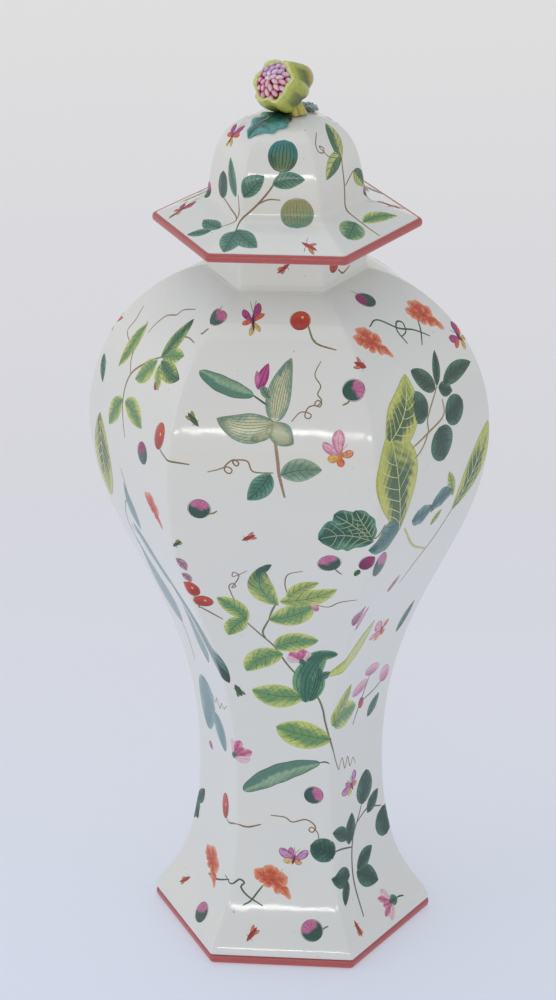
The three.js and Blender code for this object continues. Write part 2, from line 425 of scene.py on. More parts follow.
def skin(rings: list[Array], loop: bool) -> tuple[Array, list]:
    """Skins rings of equal count into a closed surface.

    Args:
        rings: the rings, in order.
        loop: True to join the last ring to the first, False to close both ends with a fan.

    Returns:
        Points and faces.
    """
    count = len(rings[0])
    points = np.concatenate(rings)
    faces = []
    bands = len(rings) if loop else len(rings) - 1
    for band in range(bands):
        low, high = band * count, ((band + 1) % len(rings)) * count
        for i in range(count):
            j = (i + 1) % count
            faces.append((low + i, low + j, high + j, high + i))
    if not loop:
        points = np.concatenate([points, [rings[0].mean(axis=0)], [rings[-1].mean(axis=0)]])
        last = (len(rings) - 1) * count
        for i in range(count):
            j = (i + 1) % count
            faces.append((len(points) - 2, j, i))
            faces.append((len(points) - 1, last + i, last + j))
    return points, faces


def bezier(*handles: Pair, steps: int) -> Array:
    """Points along a cubic Bezier arc.

    Args:
        handles: start, two handles and end.
        steps: how many steps it is drawn in.

    Returns:
        The points.
    """
    a, b, c, d = (np.array(h, dtype=float) for h in handles)
    t = np.linspace(0, 1, steps + 1)[:, None]
    return a * (1 - t) ** 3 + 3 * b * t * (1 - t) ** 2 + 3 * c * t**2 * (1 - t) + d * t**3


def inset(profile: Array, thickness: float) -> Array:
    """Moves a profile of (corner radius, height) inwards, square to the hexagon's face.

    Args:
        profile: corner radius and height of each point.
        thickness: how far it moves.

    Returns:
        The new profile.
    """
    along = np.gradient(profile * [COS30, 1], axis=0)
    along /= np.linalg.norm(along, axis=1)[:, None]
    apothem = profile[:, 0] * COS30 - along[:, 1] * thickness
    return np.stack([apothem / COS30, profile[:, 1] + along[:, 0] * thickness], axis=1)


def smoothstep(value: Array, low: float, high: float) -> Array:
    """0 below low, 1 above high, and a smooth ease between."""
    share = np.clip((value - low) / (high - low), 0, 1)
    return share * share * (3 - 2 * share)


def leftward(line: Array) -> Array:
    """Unit directions to the left of a line, at each of its points.

    Args:
        line: points of the line.

    Returns:
        One direction for each point.
    """
    tangent = np.gradient(line, axis=0)
    tangent /= np.maximum(np.linalg.norm(tangent, axis=1), TINY)[:, None]
    return np.stack([-tangent[:, 1], tangent[:, 0]], axis=1)


def curve_through(points: Array, spacing: float) -> Array:
    """A smooth curve through points, at about an even spacing.

    Args:
        points: the points.
        spacing: distance between new points.

    Returns:
        The curve.
    """
    points = np.asarray(points, dtype=float)
    ends = np.concatenate([[2 * points[0] - points[1]], points, [2 * points[-1] - points[-2]]])
    curve = []
    for i in range(len(points) - 1):
        a, b, c, d = ends[i : i + 4]
        steps = max(2, int(np.linalg.norm(c - b) / spacing))
        t = np.arange(steps)[:, None] / steps
        square, cube = 2 * a - 5 * b + 4 * c - d, 3 * b - a - 3 * c + d
        curve.append(0.5 * (2 * b + (c - a) * t + square * t**2 + cube * t**3))
    curve.append(points[-1:])
    return np.concatenate(curve)


# ---- The hexagonal surface, unrolled ----
class HexSurface:
    """The outside of a six-sided form with rounded arrises.

    Face 0 looks along -Y, and the faces are counted towards +X. A place on it is the distance
    across from the middle of a face and the distance along the face's slope.
    """

    def __init__(self, profile: Array, arris: float) -> None:
        """Keeps a profile of (corner radius, height) and the radius of its arrises.

        Args:
            profile: corner radius and height, from the bottom up.
            arris: radius of the arrises.
        """
        self.corners, self.heights = profile[:, 0], profile[:, 1]
        flat = profile * [COS30, 1]
        steps = np.linalg.norm(np.diff(flat, axis=0), axis=1)
        self.lengths = np.concatenate([[0], np.cumsum(steps)])
        self.out = np.gradient(flat[:, 0], self.lengths)
        self.up = np.gradient(flat[:, 1], self.lengths)
        self.arris = arris

    def along(self, height: float) -> float:
        """The distance along the slope at a height."""
        return float(np.interp(height, self.heights, self.lengths))

    def half_width(self, along: Array) -> tuple[Array, Array, Array]:
        """Half the flat of a face, the radius of the arris, and half the face with its arrises.

        Args:
            along: distances along the slope.

        Returns:
            The three sizes at each distance.
        """
        corner = np.interp(along, self.lengths, self.corners)
        radius = np.minimum(self.arris, ARRIS_SHARE * corner)
        flat = (corner - radius / COS30) / 2
        return flat, radius, flat + radius * math.pi / 6

    def lay(self, face: int, across: Array, along: Array, lift: Array) -> Array:
        """Folds unrolled places back on the form.

        Args:
            face: the face that the places are counted from.
            across: distance from the middle of that face, which may run on to the next face.
            along: distance along the slope.
            lift: height above the glaze.

        Returns:
            Points, in millimetres.
        """
        flat, radius, half = self.half_width(along)
        corner = np.interp(along, self.lengths, self.corners)
        height = np.interp(along, self.lengths, self.heights)
        out = np.interp(along, self.lengths, self.out)
        up = np.interp(along, self.lengths, self.up)
        shift = np.round(across / (2 * half))
        across = across - 2 * half * shift
        turn = (face + shift) * (math.pi / 3)
        angle = turn + np.sign(across) * np.maximum(np.abs(across) - flat, 0) / radius
        level = np.clip(across, -flat, flat)
        inner = corner * COS30 - radius
        x = np.sin(turn) * inner + np.cos(turn) * level + np.sin(angle) * (radius + lift * up)
        y = -np.cos(turn) * inner + np.sin(turn) * level - np.cos(angle) * (radius + lift * up)
        return np.stack([x, y, height - lift * out], axis=-1)


def hex_ring(corner: float, height: float, arris: float) -> Array:
    """One ring of points round a hexagon with rounded corners.

    Args:
        corner: radius over the corners.
        height: height of the ring.
        arris: radius of the rounding.

    Returns:
        The points, in millimetres.
    """
    radius = min(arris, corner * ARRIS_SHARE)
    flat = (corner - radius / COS30) / 2
    inner = corner * COS30 - radius
    ring = []
    for face in range(6):
        turn = face * math.pi / 3
        for share in FACE_STATIONS:
            ring.append((turn, flat * share, turn))
        for step in range(ARRIS_STEPS + 1):
            ring.append((turn, flat, turn + step / ARRIS_STEPS * math.pi / 3))
    turn, level, angle = np.array(ring).T
    return np.stack(
        [
            np.sin(turn) * inner + np.cos(turn) * level + np.sin(angle) * radius,
            -np.cos(turn) * inner + np.sin(turn) * level - np.cos(angle) * radius,
            np.full(len(ring), height),
        ],
        axis=1,
    )


def hex_skin(profile: Array, arris: float, loop: bool = True) -> tuple[Array, list]:
    """Skins a profile of (corner radius, height) round the hexagon."""
    return skin([hex_ring(corner, height, arris) for corner, height in profile], loop)


def rolled_edge(corner: float, roll: float, low: float, tall: float) -> Array:
    """The profile of a rounded edge, from its lowest point out and up.

    Args:
        corner: its outermost corner radius.
        roll: how deep it is rounded.
        low: height of its bottom.
        tall: its height.

    Returns:
        Corner radius and height of each point.
    """
    turn = np.linspace(-math.pi / 2, math.pi / 2, 11)
    out = corner - roll + roll * np.cos(turn) ** 0.8
    return np.stack([out, low + tall / 2 * (1 + np.sin(turn))], axis=1)


# ---- Enamels ----
def shade(*stops: tuple[float, Colour]) -> tuple[Array, Array]:
    """Stops along a gradient, in linear colour."""
    return np.array([s for s, _ in stops]), np.array([paint(c) for _, c in stops])


def tint(value: Array, stops: tuple[Array, Array]) -> Array:
    """Colours along a gradient."""
    return np.stack([np.interp(value, stops[0], stops[1][:, i]) for i in range(3)], axis=-1)


def away(centre: Place, way: float, reach: float) -> Place:
    """The place at a distance from another, turned in radians from up towards the left."""
    return (centre[0] - reach * math.sin(way), centre[1] + reach * math.cos(way), *centre[2:])


@dataclass(frozen=True)
class LeafLook:
    """How a leaf is painted: from its edge to its heart, with veins drawn on it."""

    edge: Colour
    heart: Colour
    vein: Colour
    tip: Colour | None = None
    tip_from: float = 0.62
    half: Colour | None = None
    veins: int = 4
    stripes: int = 0
    line: float = 0.5
    ragged: float = 0.0
    outline: Colour | None = None


class Enamels:
    """Enamels on one face: closed, raised lenses and lines, gathered into one mesh."""

    SUNK = -0.08
    FULLNESS = 2.4
    LEAF_RIM = 0.04
    LEAF_STEP = 1.15
    LEAF_COLUMN = 1.2
    BEAD_RIM = -0.03
    BEAD_STEP = 0.8
    BEAD_COLUMN = 0.9
    STEM_STEP = 0.9
    STEM_FULL = 1.55
    LINE_EDGE = 0.03
    LINE_ROOT = 0.09
    VEIN_CROWN = 0.07
    HAIR = 0.3

    def __init__(self, surface: HexSurface, face: int) -> None:
        """Starts an empty set for a face.

        Args:
            surface: what they are laid on.
            face: the face they are counted from.
        """
        self.surface = surface
        self.face = face
        self.points: list[Array] = []
        self.faces: list[tuple[int, ...]] = []
        self.colours: list[Array] = []
        self.count = 0

    # -- places
    def at(self, place: Place) -> Array:
        """Unrolls a place of (across, height) or (across, height, turns to the next face).

        Args:
            place: the place.

        Returns:
            Distance across and along.
        """
        along = self.surface.along(place[1])
        across = place[0]
        if len(place) > 2:
            across += 2 * float(self.surface.half_width(np.array(along))[2]) * place[2]
        return np.array([across, along])

    def _gather(self, grid: Array, lift: Array, colour: Array) -> int:
        """Adds a grid of points.

        Args:
            grid: unrolled places.
            lift: height of each above the glaze.
            colour: colour of each.

        Returns:
            The number of the first point.
        """
        laid = self.surface.lay(self.face, grid[..., 0], grid[..., 1], lift)
        start = self.count
        self.points.append(laid.reshape(-1, 3))
        self.colours.append(np.broadcast_to(colour, laid.shape).reshape(-1, 3))
        self.count += laid.reshape(-1, 3).shape[0]
        return start

    # -- lens
    def lens(self, line: Array, left: Array, right: Array, rise: Array, colour: Array) -> None:
        """Adds one closed lens of enamel about a centre line.

        Args:
            line: centre line, unrolled.
            left: half width on the left of the line.
            right: half width on its right.
            rise: height of the grid above the glaze.
            colour: colour of the grid.
        """
        rows, columns = rise.shape
        grid = self.grid(line, left, right, columns)
        top = self._gather(grid, rise, colour)
        low = self._gather(grid, np.full_like(rise, self.SUNK), colour)
        for i in range(rows - 1):
            for j in range(columns - 1):
                a, b = i * columns + j, (i + 1) * columns + j
                self.faces.append((top + a, top + a + 1, top + b + 1, top + b))
                self.faces.append((low + a, low + b, low + b + 1, low + a + 1))
        rim = list(range(columns))
        rim += [i * columns + columns - 1 for i in range(1, rows)]
        rim += [(rows - 1) * columns + j for j in range(columns - 2, -1, -1)]
        rim += [i * columns for i in range(rows - 2, 0, -1)]
        for a, b in zip(rim, rim[1:] + rim[:1]):
            self.faces.append((top + a, low + a, low + b, top + b))

    @staticmethod
    def grid(line: Array, left: Array, right: Array, columns: int) -> Array:
        """The grid of unrolled places about a centre line.

        Args:
            line: the centre line.
            left: half widths on its left.
            right: half widths on its right.
            columns: how many places across.

        Returns:
            The places.
        """
        normal = leftward(line)
        v = np.linspace(-1, 1, columns)
        reach = np.where(v[None, :] > 0, left[:, None], right[:, None]) * v[None, :]
        return line[:, None, :] + normal[:, None, :] * reach[..., None]

    # -- lines
    def line(
        self, flat: Array, width: float, colour: Colour, base: Array | float = 0.0,
        crown: float = 0.1, end: Colour | None = None
    ) -> None:
        """Draws a thin raised line through unrolled points.

        Args:
            flat: the points, already close together.
            width: width at the middle.
            colour: its colour.
            base: height of what it lies on.
            crown: its own height.
            end: colour at its far end, if that differs.
        """
        count = len(flat)
        if count < 2:
            return
        t = np.linspace(0, 1, count)
        swell = 0.35 + 0.65 * np.sin(math.pi * np.clip(t * 0.86 + 0.1, 0, 1)) ** 0.5
        normal = leftward(flat) * (width / 2 * swell)[:, None]
        base = np.broadcast_to(np.asarray(base, dtype=float), (count,))
        edge = base - self.LINE_EDGE
        grid = np.stack([flat + normal, flat, flat - normal, flat], axis=1)
        lift = np.stack([edge, base + crown, edge, base - self.LINE_ROOT], axis=1)
        shades = tint(t, shade((0, colour), (1, end or colour)))[:, None, :]
        start = self._gather(grid, lift, np.broadcast_to(shades, (count, 4, 3)))
        for i in range(count - 1):
            for j in range(4):
                a, b = start + i * 4, start + (i + 1) * 4
                k = (j + 1) % 4
                self.faces.append((a + j, a + k, b + k, b + j))
        self.faces.append((start, start + 1, start + 2, start + 3))
        last = start + (count - 1) * 4
        self.faces.append((last + 3, last + 2, last + 1, last))

    def stem(
        self, places: list[Place], width: float, colour: Colour, end: Colour | None = None,
        crown: float = 0.14
    ) -> None:
        """Draws a stem or tendril through places."""
        flat = curve_through(np.array([self.at(p) for p in places]), self.STEM_STEP)
        self.line(flat, width * self.STEM_FULL, colour, crown=crown, end=end)

    # -- leaves
    def leaf(
        self, root: Place, tip: Place, width: float, look: LeafLook, bow: float = 0.0,
        belly: float = 0.45, crown: float = 0.16, lean: float = 0.0, blunt: float = 0.75
    ) -> None:
        """Paints a leaf or petal.

        Args:
            root: where its midrib starts.
            tip: where it ends.
            width: its full width.
            look: its colours and veins.
            bow: how far its midrib bends to the left.
            belly: where along it is widest, from 0 to 1.
            crown: its height.
            lean: from -1 to 1, how much wider its left half is.
            blunt: below 1 for fuller ends.
        """
        a, d = self.at(root), self.at(tip)
        chord = d - a
        length = float(np.linalg.norm(chord))
        side = np.array([-chord[1], chord[0]]) / max(length, 1e-6) * bow * 1.33
        rows = max(9, int(length / self.LEAF_STEP) + 1)
        t = np.linspace(0, 1, rows)
        middle = np.sin(math.pi * t)[:, None]
        line = a + chord * t[:, None] + side * middle * 0.75
        power = math.log(0.5) / math.log(belly)
        half = width / 2 * np.maximum(np.sin(math.pi * t**power), 0.0) ** blunt
        if look.ragged:
            half = half * (1 + look.ragged * np.sin(t * (9 + length / 3) + a[0]))
        half = np.maximum(half, 0.08)
        left, right = half * (1 + lean), half * (1 - lean)
        columns = 2 * max(2, int(round(width / 2 / self.LEAF_COLUMN))) + 1
        v = np.linspace(-1, 1, columns)[None, :]
        tt = t[:, None]
        ends = np.minimum(1, half / (0.25 * width + 0.05))[:, None]
        rise = crown * (1 - np.abs(v) ** self.FULLNESS) * ends + self.LEAF_RIM
        wander = 0.14 * np.sin(tt * 7 + v * 3 + a[0]) + 0.1 * np.sin(tt * 15 - v * 5 + a[1])
        wander = wander + 0.13 * np.sin(tt * 61 * (1 + 0.1 * v) + 19 * np.abs(v) + a[0])
        blend = smoothstep(1 - np.abs(v) + wander, 0.12, 0.62) * np.ones_like(tt)
        colour = tint(blend, shade((0, look.edge), (1, look.heart)))
        if look.half:
            share = smoothstep(v + wander * 0.4, -0.06, 0.06)[..., None]
            colour = colour * (1 - share) + paint(look.half) * share
        if look.tip:
            share = smoothstep(tt + wander * 0.5 + 0 * v, look.tip_from, 0.97)[..., None]
            colour = colour * (1 - share) + paint(look.tip) * share
        self.lens(line, left, right, rise, colour)
        self._veins(line, left, right, crown, look, length)

    def _veins(
        self, line: Array, left: Array, right: Array, crown: float, look: LeafLook, length: float
    ) -> None:
        """Draws a leaf's midrib, side veins, stripes and outline.

        Args:
            line: centre line of the leaf.
            left: half widths on its left.
            right: half widths on its right.
            crown: height of the leaf.
            look: how it is painted.
            length: its length.
        """
        t = np.linspace(0, 1, len(line))
        normal = leftward(line)

        def spot(s: Array, v: Array) -> Array:
            """Places at shares along and across the leaf.

            Args:
                s: shares along.
                v: shares across, from -1 to 1.

            Returns:
                The places.
            """
            reach = np.where(v > 0, np.interp(s, t, left), np.interp(s, t, right)) * v
            spine = np.stack([np.interp(s, t, line[:, i]) for i in (0, 1)], axis=1)
            square = np.stack([np.interp(s, t, normal[:, i]) for i in (0, 1)], axis=1)
            return spine + square * reach[:, None]

        def draw(s: Array, v: Array, width: float, colour: Colour) -> None:
            """Draws a vein on the leaf's crown.

            Args:
                s: shares along.
                v: shares across.
                width: its width.
                colour: its colour.
            """
            ends = np.minimum(1, np.interp(s, t, left) / (0.5 * left.max() + 0.05))
            base = crown * (1 - np.abs(v) ** self.FULLNESS) * ends + self.LEAF_RIM
            self.line(spot(s, v), width, colour, base=base, crown=self.VEIN_CROWN)

        steps = max(6, int(length / 1.6))
        if look.veins or look.stripes:
            s = np.linspace(0.02, 0.94, steps)
            draw(s, np.zeros(steps), look.line * 1.35, look.vein)
        for i in range(look.veins):
            start = 0.08 + 0.72 * i / look.veins
            s = np.linspace(start, min(start + 0.2, 0.97), 6)
            for sign in (-1, 1):
                draw(s, sign * np.linspace(0.0, 0.86, 6) ** 0.85, look.line, look.vein)
        for i in range(look.stripes):
            v = (i + 1) / (look.stripes + 1)
            s = np.linspace(0.06, 0.94, steps)
            for sign in (-1, 1):
                draw(s, np.full(steps, sign * v), look.line, look.vein)
        if look.outline:
            s = np.linspace(0.0, 1.0, max(8, int(length / 1.2)))
            for sign in (-1, 1):
                draw(s, np.full(len(s), sign * 0.97), look.line, look.outline)

    # -- buds, fruit and flowers
    def bead(
        self, centre: Place, size: Pair, turn: float, low: Colour, high: Colour, split: float = 0.0,
        soft: float = 0.2, crown: float = 0.22, outline: Colour | None = None, arch: float = 0.35
    ) -> None:
        """Paints a round or oval bead in two colours.

        Args:
            centre: its middle.
            size: its length and width.
            turn: degrees that its length is turned from up towards the left.
            low: colour at the start of its length.
            high: colour at the end.
            split: where the two meet, from -1 to 1.
            soft: how softly they meet.
            crown: its height.
            outline: colour of a thin line round it.
            arch: how far the meeting line bends.
        """
        middle = self.at(centre)
        angle = math.radians(turn)
        axis = np.array([-math.sin(angle), math.cos(angle)])
        rows = max(9, int(size[0] / self.BEAD_STEP))
        t = np.sin(np.linspace(-0.5, 0.5, rows) * math.pi)
        line = middle + axis * (t * size[0] / 2)[:, None]
        half = np.maximum(size[1] / 2 * np.sqrt(1 - t**2), 0.06)
        columns = 2 * max(2, int(round(size[1] / 2 / self.BEAD_COLUMN))) + 1
        v = np.linspace(-1, 1, columns)[None, :]
        tt = t[:, None]
        dome = np.maximum(1 - tt**2, 0) ** 0.5
        rise = crown * dome * (1 - np.abs(v) ** self.FULLNESS) + self.BEAD_RIM
        level = tt + arch * (v**2 - 0.3) + 0.05 * np.sin(v * 7 + middle[0])
        share = smoothstep(level, split - soft, split + soft)
        colour = tint(share, shade((0, low), (1, high)))
        rim = smoothstep(tt**2 + v**2 * (1 - tt**2), 0.72, 1.0)[..., None]
        colour = colour * (1 - 0.28 * rim)
        self.lens(line, half, half, rise, colour)
        if outline:
            ring = np.linspace(0, 2 * math.pi, max(14, int(size[0] * 2.4)))
            square = np.array([axis[1], -axis[0]])
            flat = middle + np.cos(ring)[:, None] * axis * size[0] / 2
            flat = flat + np.sin(ring)[:, None] * square * size[1] / 2
            self.line(flat, 0.5, outline, base=-0.02, crown=0.08)

    # -- insects
    def insect(
        self, tail: Place, head: Place, body: Colour, wing: Colour, width: float = 2.2,
        spread: float = 5.0
    ) -> None:
        """Paints a small winged insect from its tail to its head.

        Args:
            tail: where its body ends.
            head: where it starts.
            body: colour of the body.
            wing: colour of the wings.
            width: width of the body.
            spread: length of the wings.
        """
        a, b = np.array(tail[:2]), np.array(head[:2])
        rest = tuple(tail[2:])
        run = (b - a) / np.linalg.norm(b - a)
        square = np.array([-run[1], run[0]])
        root = a + (b - a) * 0.62
        veil = LeafLook(wing, wing, body, veins=0, outline=body, line=0.35)
        for sign in (-1, 1):
            end = root + square * spread * sign * 0.42 - run * spread * 1.05
            self.leaf((*root, *rest), (*end, *rest), 1.9, veil, belly=0.6, crown=0.1)
            foot = root + square * sign * 2.4 + run * 0.8
            knee = (root + foot) / 2 + run * 0.6
            leg = [(*spot, *rest) for spot in (root, knee, foot)]
            self.stem(leg, self.HAIR, body, crown=self.VEIN_CROWN)
        trunk = LeafLook(body, body, body, veins=0)
        self.leaf((*a, *rest), (*b, *rest), width * 1.2, trunk, belly=0.5, crown=0.24)

    def butterfly(self, centre: Place, turn: float, wings: list[Wing], body: Colour) -> None:
        """Paints a butterfly.

        Args:
            centre: where the wings meet.
            turn: degrees that it is turned from up towards the left.
            wings: for each wing its direction, length, width, bow, edge and heart colours.
            body: colour of the body.
        """
        for angle, length, width, bow, edge, heart in wings:
            way = math.radians(turn + angle)
            tip = away(centre, way, length)
            look = LeafLook(edge, heart, edge, veins=2, line=0.35, outline=edge)
            self.leaf(centre, tip, width, look, bow=bow, belly=0.62, blunt=0.6)
        way = math.radians(turn)
        head = away(centre, way, 3.4)
        tail = away(centre, way, -3.6)
        self.leaf(tail, head, 1.9, LeafLook(body, body, body, veins=0), crown=0.26)
        for sign in (-1, 1):
            horn = away(head, math.radians(turn + sign * 22), 4.5)
            self.stem([head, horn], self.HAIR, body, crown=self.VEIN_CROWN)

    def fire(self, piece: Piece) -> bpy.types.Object:
        """Makes the gathered enamels into one object."""
        return piece.make(np.concatenate(self.points), self.faces, np.concatenate(self.colours))


# ---- Jar ----
@dataclass
class JarBody:
    """The jar: foot band, flared foot, waist, belly, shoulder and neck in one glaze shell."""

    wall: float = 6.0
    arris: float = 3.0
    foot_corner: float = 86.5
    band: float = 5.5
    band_edge: float = 1.6
    band_roll: float = 1.6
    band_gap: float = 0.3
    ring: float = 9.0
    waist_corner: float = 56.6
    waist_height: float = 109.0
    belly_corner: float = 117.5
    belly_height: float = 329.0
    neck_corner: float = 45.9
    neck_height: float = 425.5
    mouth_height: float = 448.5
    fillet: float = 2.2
    lip: float = 1.3

    def outline(self) -> Array:
        """Corner radius and height up the outside, from the foot's edge to the neck's top.

        Returns:
            Corner radius and height of each point.
        """
        top = self.band + self.band_edge
        flare = self.foot_corner - self.waist_corner
        draw = self.belly_corner - self.neck_corner
        low = self.waist_height - top
        mid = self.belly_height - self.waist_height
        high = self.neck_height - self.belly_height
        foot = bezier(
            (self.foot_corner, top),
            (self.foot_corner - 0.13 * flare, top + 0.14 * low),
            (self.waist_corner, self.waist_height - 0.78 * low),
            (self.waist_corner, self.waist_height),
            steps=56,
        )
        belly = bezier(
            (self.waist_corner, self.waist_height),
            (self.waist_corner, self.waist_height + 0.51 * mid),
            (self.belly_corner, self.belly_height - 0.35 * mid),
            (self.belly_corner, self.belly_height),
            steps=110,
        )
        shoulder = bezier(
            (self.belly_corner, self.belly_height),
            (self.belly_corner, self.belly_height + 0.58 * high),
            (self.neck_corner + 0.43 * draw, self.neck_height - 0.04 * high),
            (self.neck_corner, self.neck_height),
            steps=80,
        )
        shoulder = shoulder[shoulder[:, 0] > self.neck_corner + self.fillet]
        angle = np.linspace(0, math.pi / 2, 7)
        fillet = np.stack(
            [
                self.neck_corner + self.fillet * (1 - np.sin(angle)),
                shoulder[-1, 1] + 0.3 + self.fillet * (1 - np.cos(angle)),
            ],
            axis=1,
        )
        rise = np.linspace(fillet[-1, 1] + 2, self.mouth_height - self.lip, 6)
        neck = np.stack([np.full(6, self.neck_corner), rise], axis=1)
        return np.concatenate([foot, belly[1:], shoulder[1:], fillet, neck])

    def surface(self) -> HexSurface:
        """The outside, for laying enamels on."""
        return HexSurface(self.outline(), self.arris)

    def shell(self, glaze: Material) -> None:
        """Makes the glazed wall, inside and out.

        Args:
            glaze: its material.
        """
        outside = self.outline()
        wall = self.wall / COS30
        angle = np.linspace(0, math.pi, 9)
        middle = self.neck_corner - wall / 2
        crest = self.mouth_height - self.lip + np.sin(angle) * self.lip
        rim = np.stack([middle + np.cos(angle) * wall / 2, crest], axis=1)
        inside = inset(outside[outside[:, 1] < self.neck_height - 1], self.wall)[::-1]
        inside = inside[inside[:, 1] > self.band + 1.5]
        ring = self.foot_corner - self.ring / COS30
        inside = inside[inside[:, 0] > 20]
        low = self.band + self.band_gap
        base = np.array(
            [(ring, low), (self.foot_corner - 1.2, low), (self.foot_corner - 0.3, self.band + 0.7)]
        )
        lowered = inside[inside[:, 1] < 10]
        inside = inside[inside[:, 1] >= 10]
        down = np.array([(min(ring, lowered[:, 0].min() if len(lowered) else ring), 9.0)])
        profile = np.concatenate([base, outside, rim, inside, down])
        sections = ("jar_foot", "jar_waist", "jar_belly", "jar_shoulder", "jar_neck")
        shell = Piece("jar_glaze_shell", "jar", Finish.JAR_GLAZE, glaze, sections)
        shell.make(*hex_skin(profile, self.arris))

    def foot_band(self, red: Material) -> None:
        """Makes the rounded iron-red band that the jar stands on.

        Args:
            red: its material.
        """
        inner = self.foot_corner - self.ring / COS30
        bulge = rolled_edge(self.foot_corner, self.band_roll, 0.0, self.band)
        profile = np.concatenate([[(inner, 0.4), (inner + 0.6, 0.0)], bulge, [(inner, self.band)]])
        band = Piece("jar_foot_band", "jar", Finish.RED_ENAMEL, red, ("foot_ring",))
        band.make(*hex_skin(profile, self.arris))


# ---- Lid ----
@dataclass
class Lid:
    """The lid: sloping brim with a red edge, and a hexagonal dome."""

    wall: float = 4.5
    arris: float = 3.0
    corner: float = 77.2
    base: float = 451.5
    edge: float = 4.8
    band: float = 2.2
    band_roll: float = 1.7
    rest: float = 448.8
    neck_corner: float = 45.9
    bore: float = 32.5
    dome_corner: float = 45.6
    dome_foot: float = 467.0
    dome_top: float = 516.5
    fillet: float = 4.0

    def outline(self) -> Array:
        """Corner radius and height up the outside, from the red edge to the dome's top.

        Returns:
            Corner radius and height of each point.
        """
        brim = self.corner - self.band / COS30
        top = self.base + self.edge
        rise = self.dome_top - self.dome_foot
        slope = (self.dome_foot - top) / (brim - self.dome_corner)
        out = np.linspace(brim - 0.6, self.dome_corner + self.fillet, 16)
        cone = np.stack([out, top + slope * (brim - out) + 0.2], axis=1)
        dome = bezier(
            (self.dome_corner, self.dome_foot),
            (self.dome_corner * 0.9, self.dome_foot + 0.64 * rise),
            (self.dome_corner * 0.88, self.dome_top),
            (0.6, self.dome_top),
            steps=72,
        )
        dome = dome[dome[:, 1] > self.dome_foot + self.fillet]
        knee = bezier(
            tuple(cone[-1]),
            (self.dome_corner + 1.4, cone[-1, 1] + 0.9),
            (dome[0, 0] + 0.5, self.dome_foot + 1.2),
            tuple(dome[0]),
            steps=8,
        )
        return np.concatenate([cone, knee[1:-1], dome])

    def surface(self) -> HexSurface:
        """The outside, for laying enamels on."""
        return HexSurface(self.outline(), self.arris)

    def shell(self, glaze: Material) -> None:
        """Makes the glazed lid, inside and out.

        Args:
            glaze: its material.
        """
        brim = self.corner - self.band / COS30
        outside = self.outline()
        inner = inset(outside[outside[:, 1] > self.dome_foot + 1], self.wall)
        inner = inner[(inner[:, 0] > 1.0) & (inner[:, 1] > self.dome_foot)]
        seat = self.neck_corner + self.wall / COS30
        under = [
            (self.bore, self.dome_foot),
            (self.bore, self.rest),
            (seat, self.rest),
            (brim, self.base),
            (brim, self.base + self.edge),
        ]
        profile = np.concatenate([inner[::-1], under, outside])
        shell = Piece("lid_glaze_shell", "lid", Finish.LID_GLAZE, glaze, ("lid_brim", "lid_dome"))
        shell.make(*hex_skin(profile, self.arris, loop=False))

    def brim_band(self, red: Material) -> None:
        """Makes the rounded iron-red edge of the brim.

        Args:
            red: its material.
        """
        inner = self.corner - self.band / COS30 + 0.1
        bulge = rolled_edge(self.corner, self.band_roll, self.base, self.edge)
        profile = np.concatenate([[(inner, self.base)], bulge, [(inner, self.base + self.edge)]])
        band = Piece("lid_brim_band", "lid", Finish.RED_ENAMEL, red, ("lid_band",))
        band.make(*hex_skin(profile, self.arris))

    def height_at(self, x: Array, y: Array) -> Array:
        """Height of the dome under a point.

        Args:
            x: distance along X.
            y: distance along Y.

        Returns:
            The height.
        """
        turns = np.arange(6) * math.pi / 3
        apothem = np.max([x * math.sin(a) - y * math.cos(a) for a in turns], axis=0)
        outside = self.outline()
        return np.interp(apothem / COS30, outside[::-1, 0], outside[::-1, 1])


# ---- Finial ----
def heading(turn: float, rise: float) -> Array:
    """A direction, turned from -Y towards +X and raised, in degrees.

    Args:
        turn: how far it is turned.
        rise: how far it is raised.

    Returns:
        The unit direction.
    """
    turn, rise = math.radians(turn), math.radians(rise)
    return np.array(
        [math.sin(turn) * math.cos(rise), -math.cos(turn) * math.cos(rise), math.sin(rise)]
    )


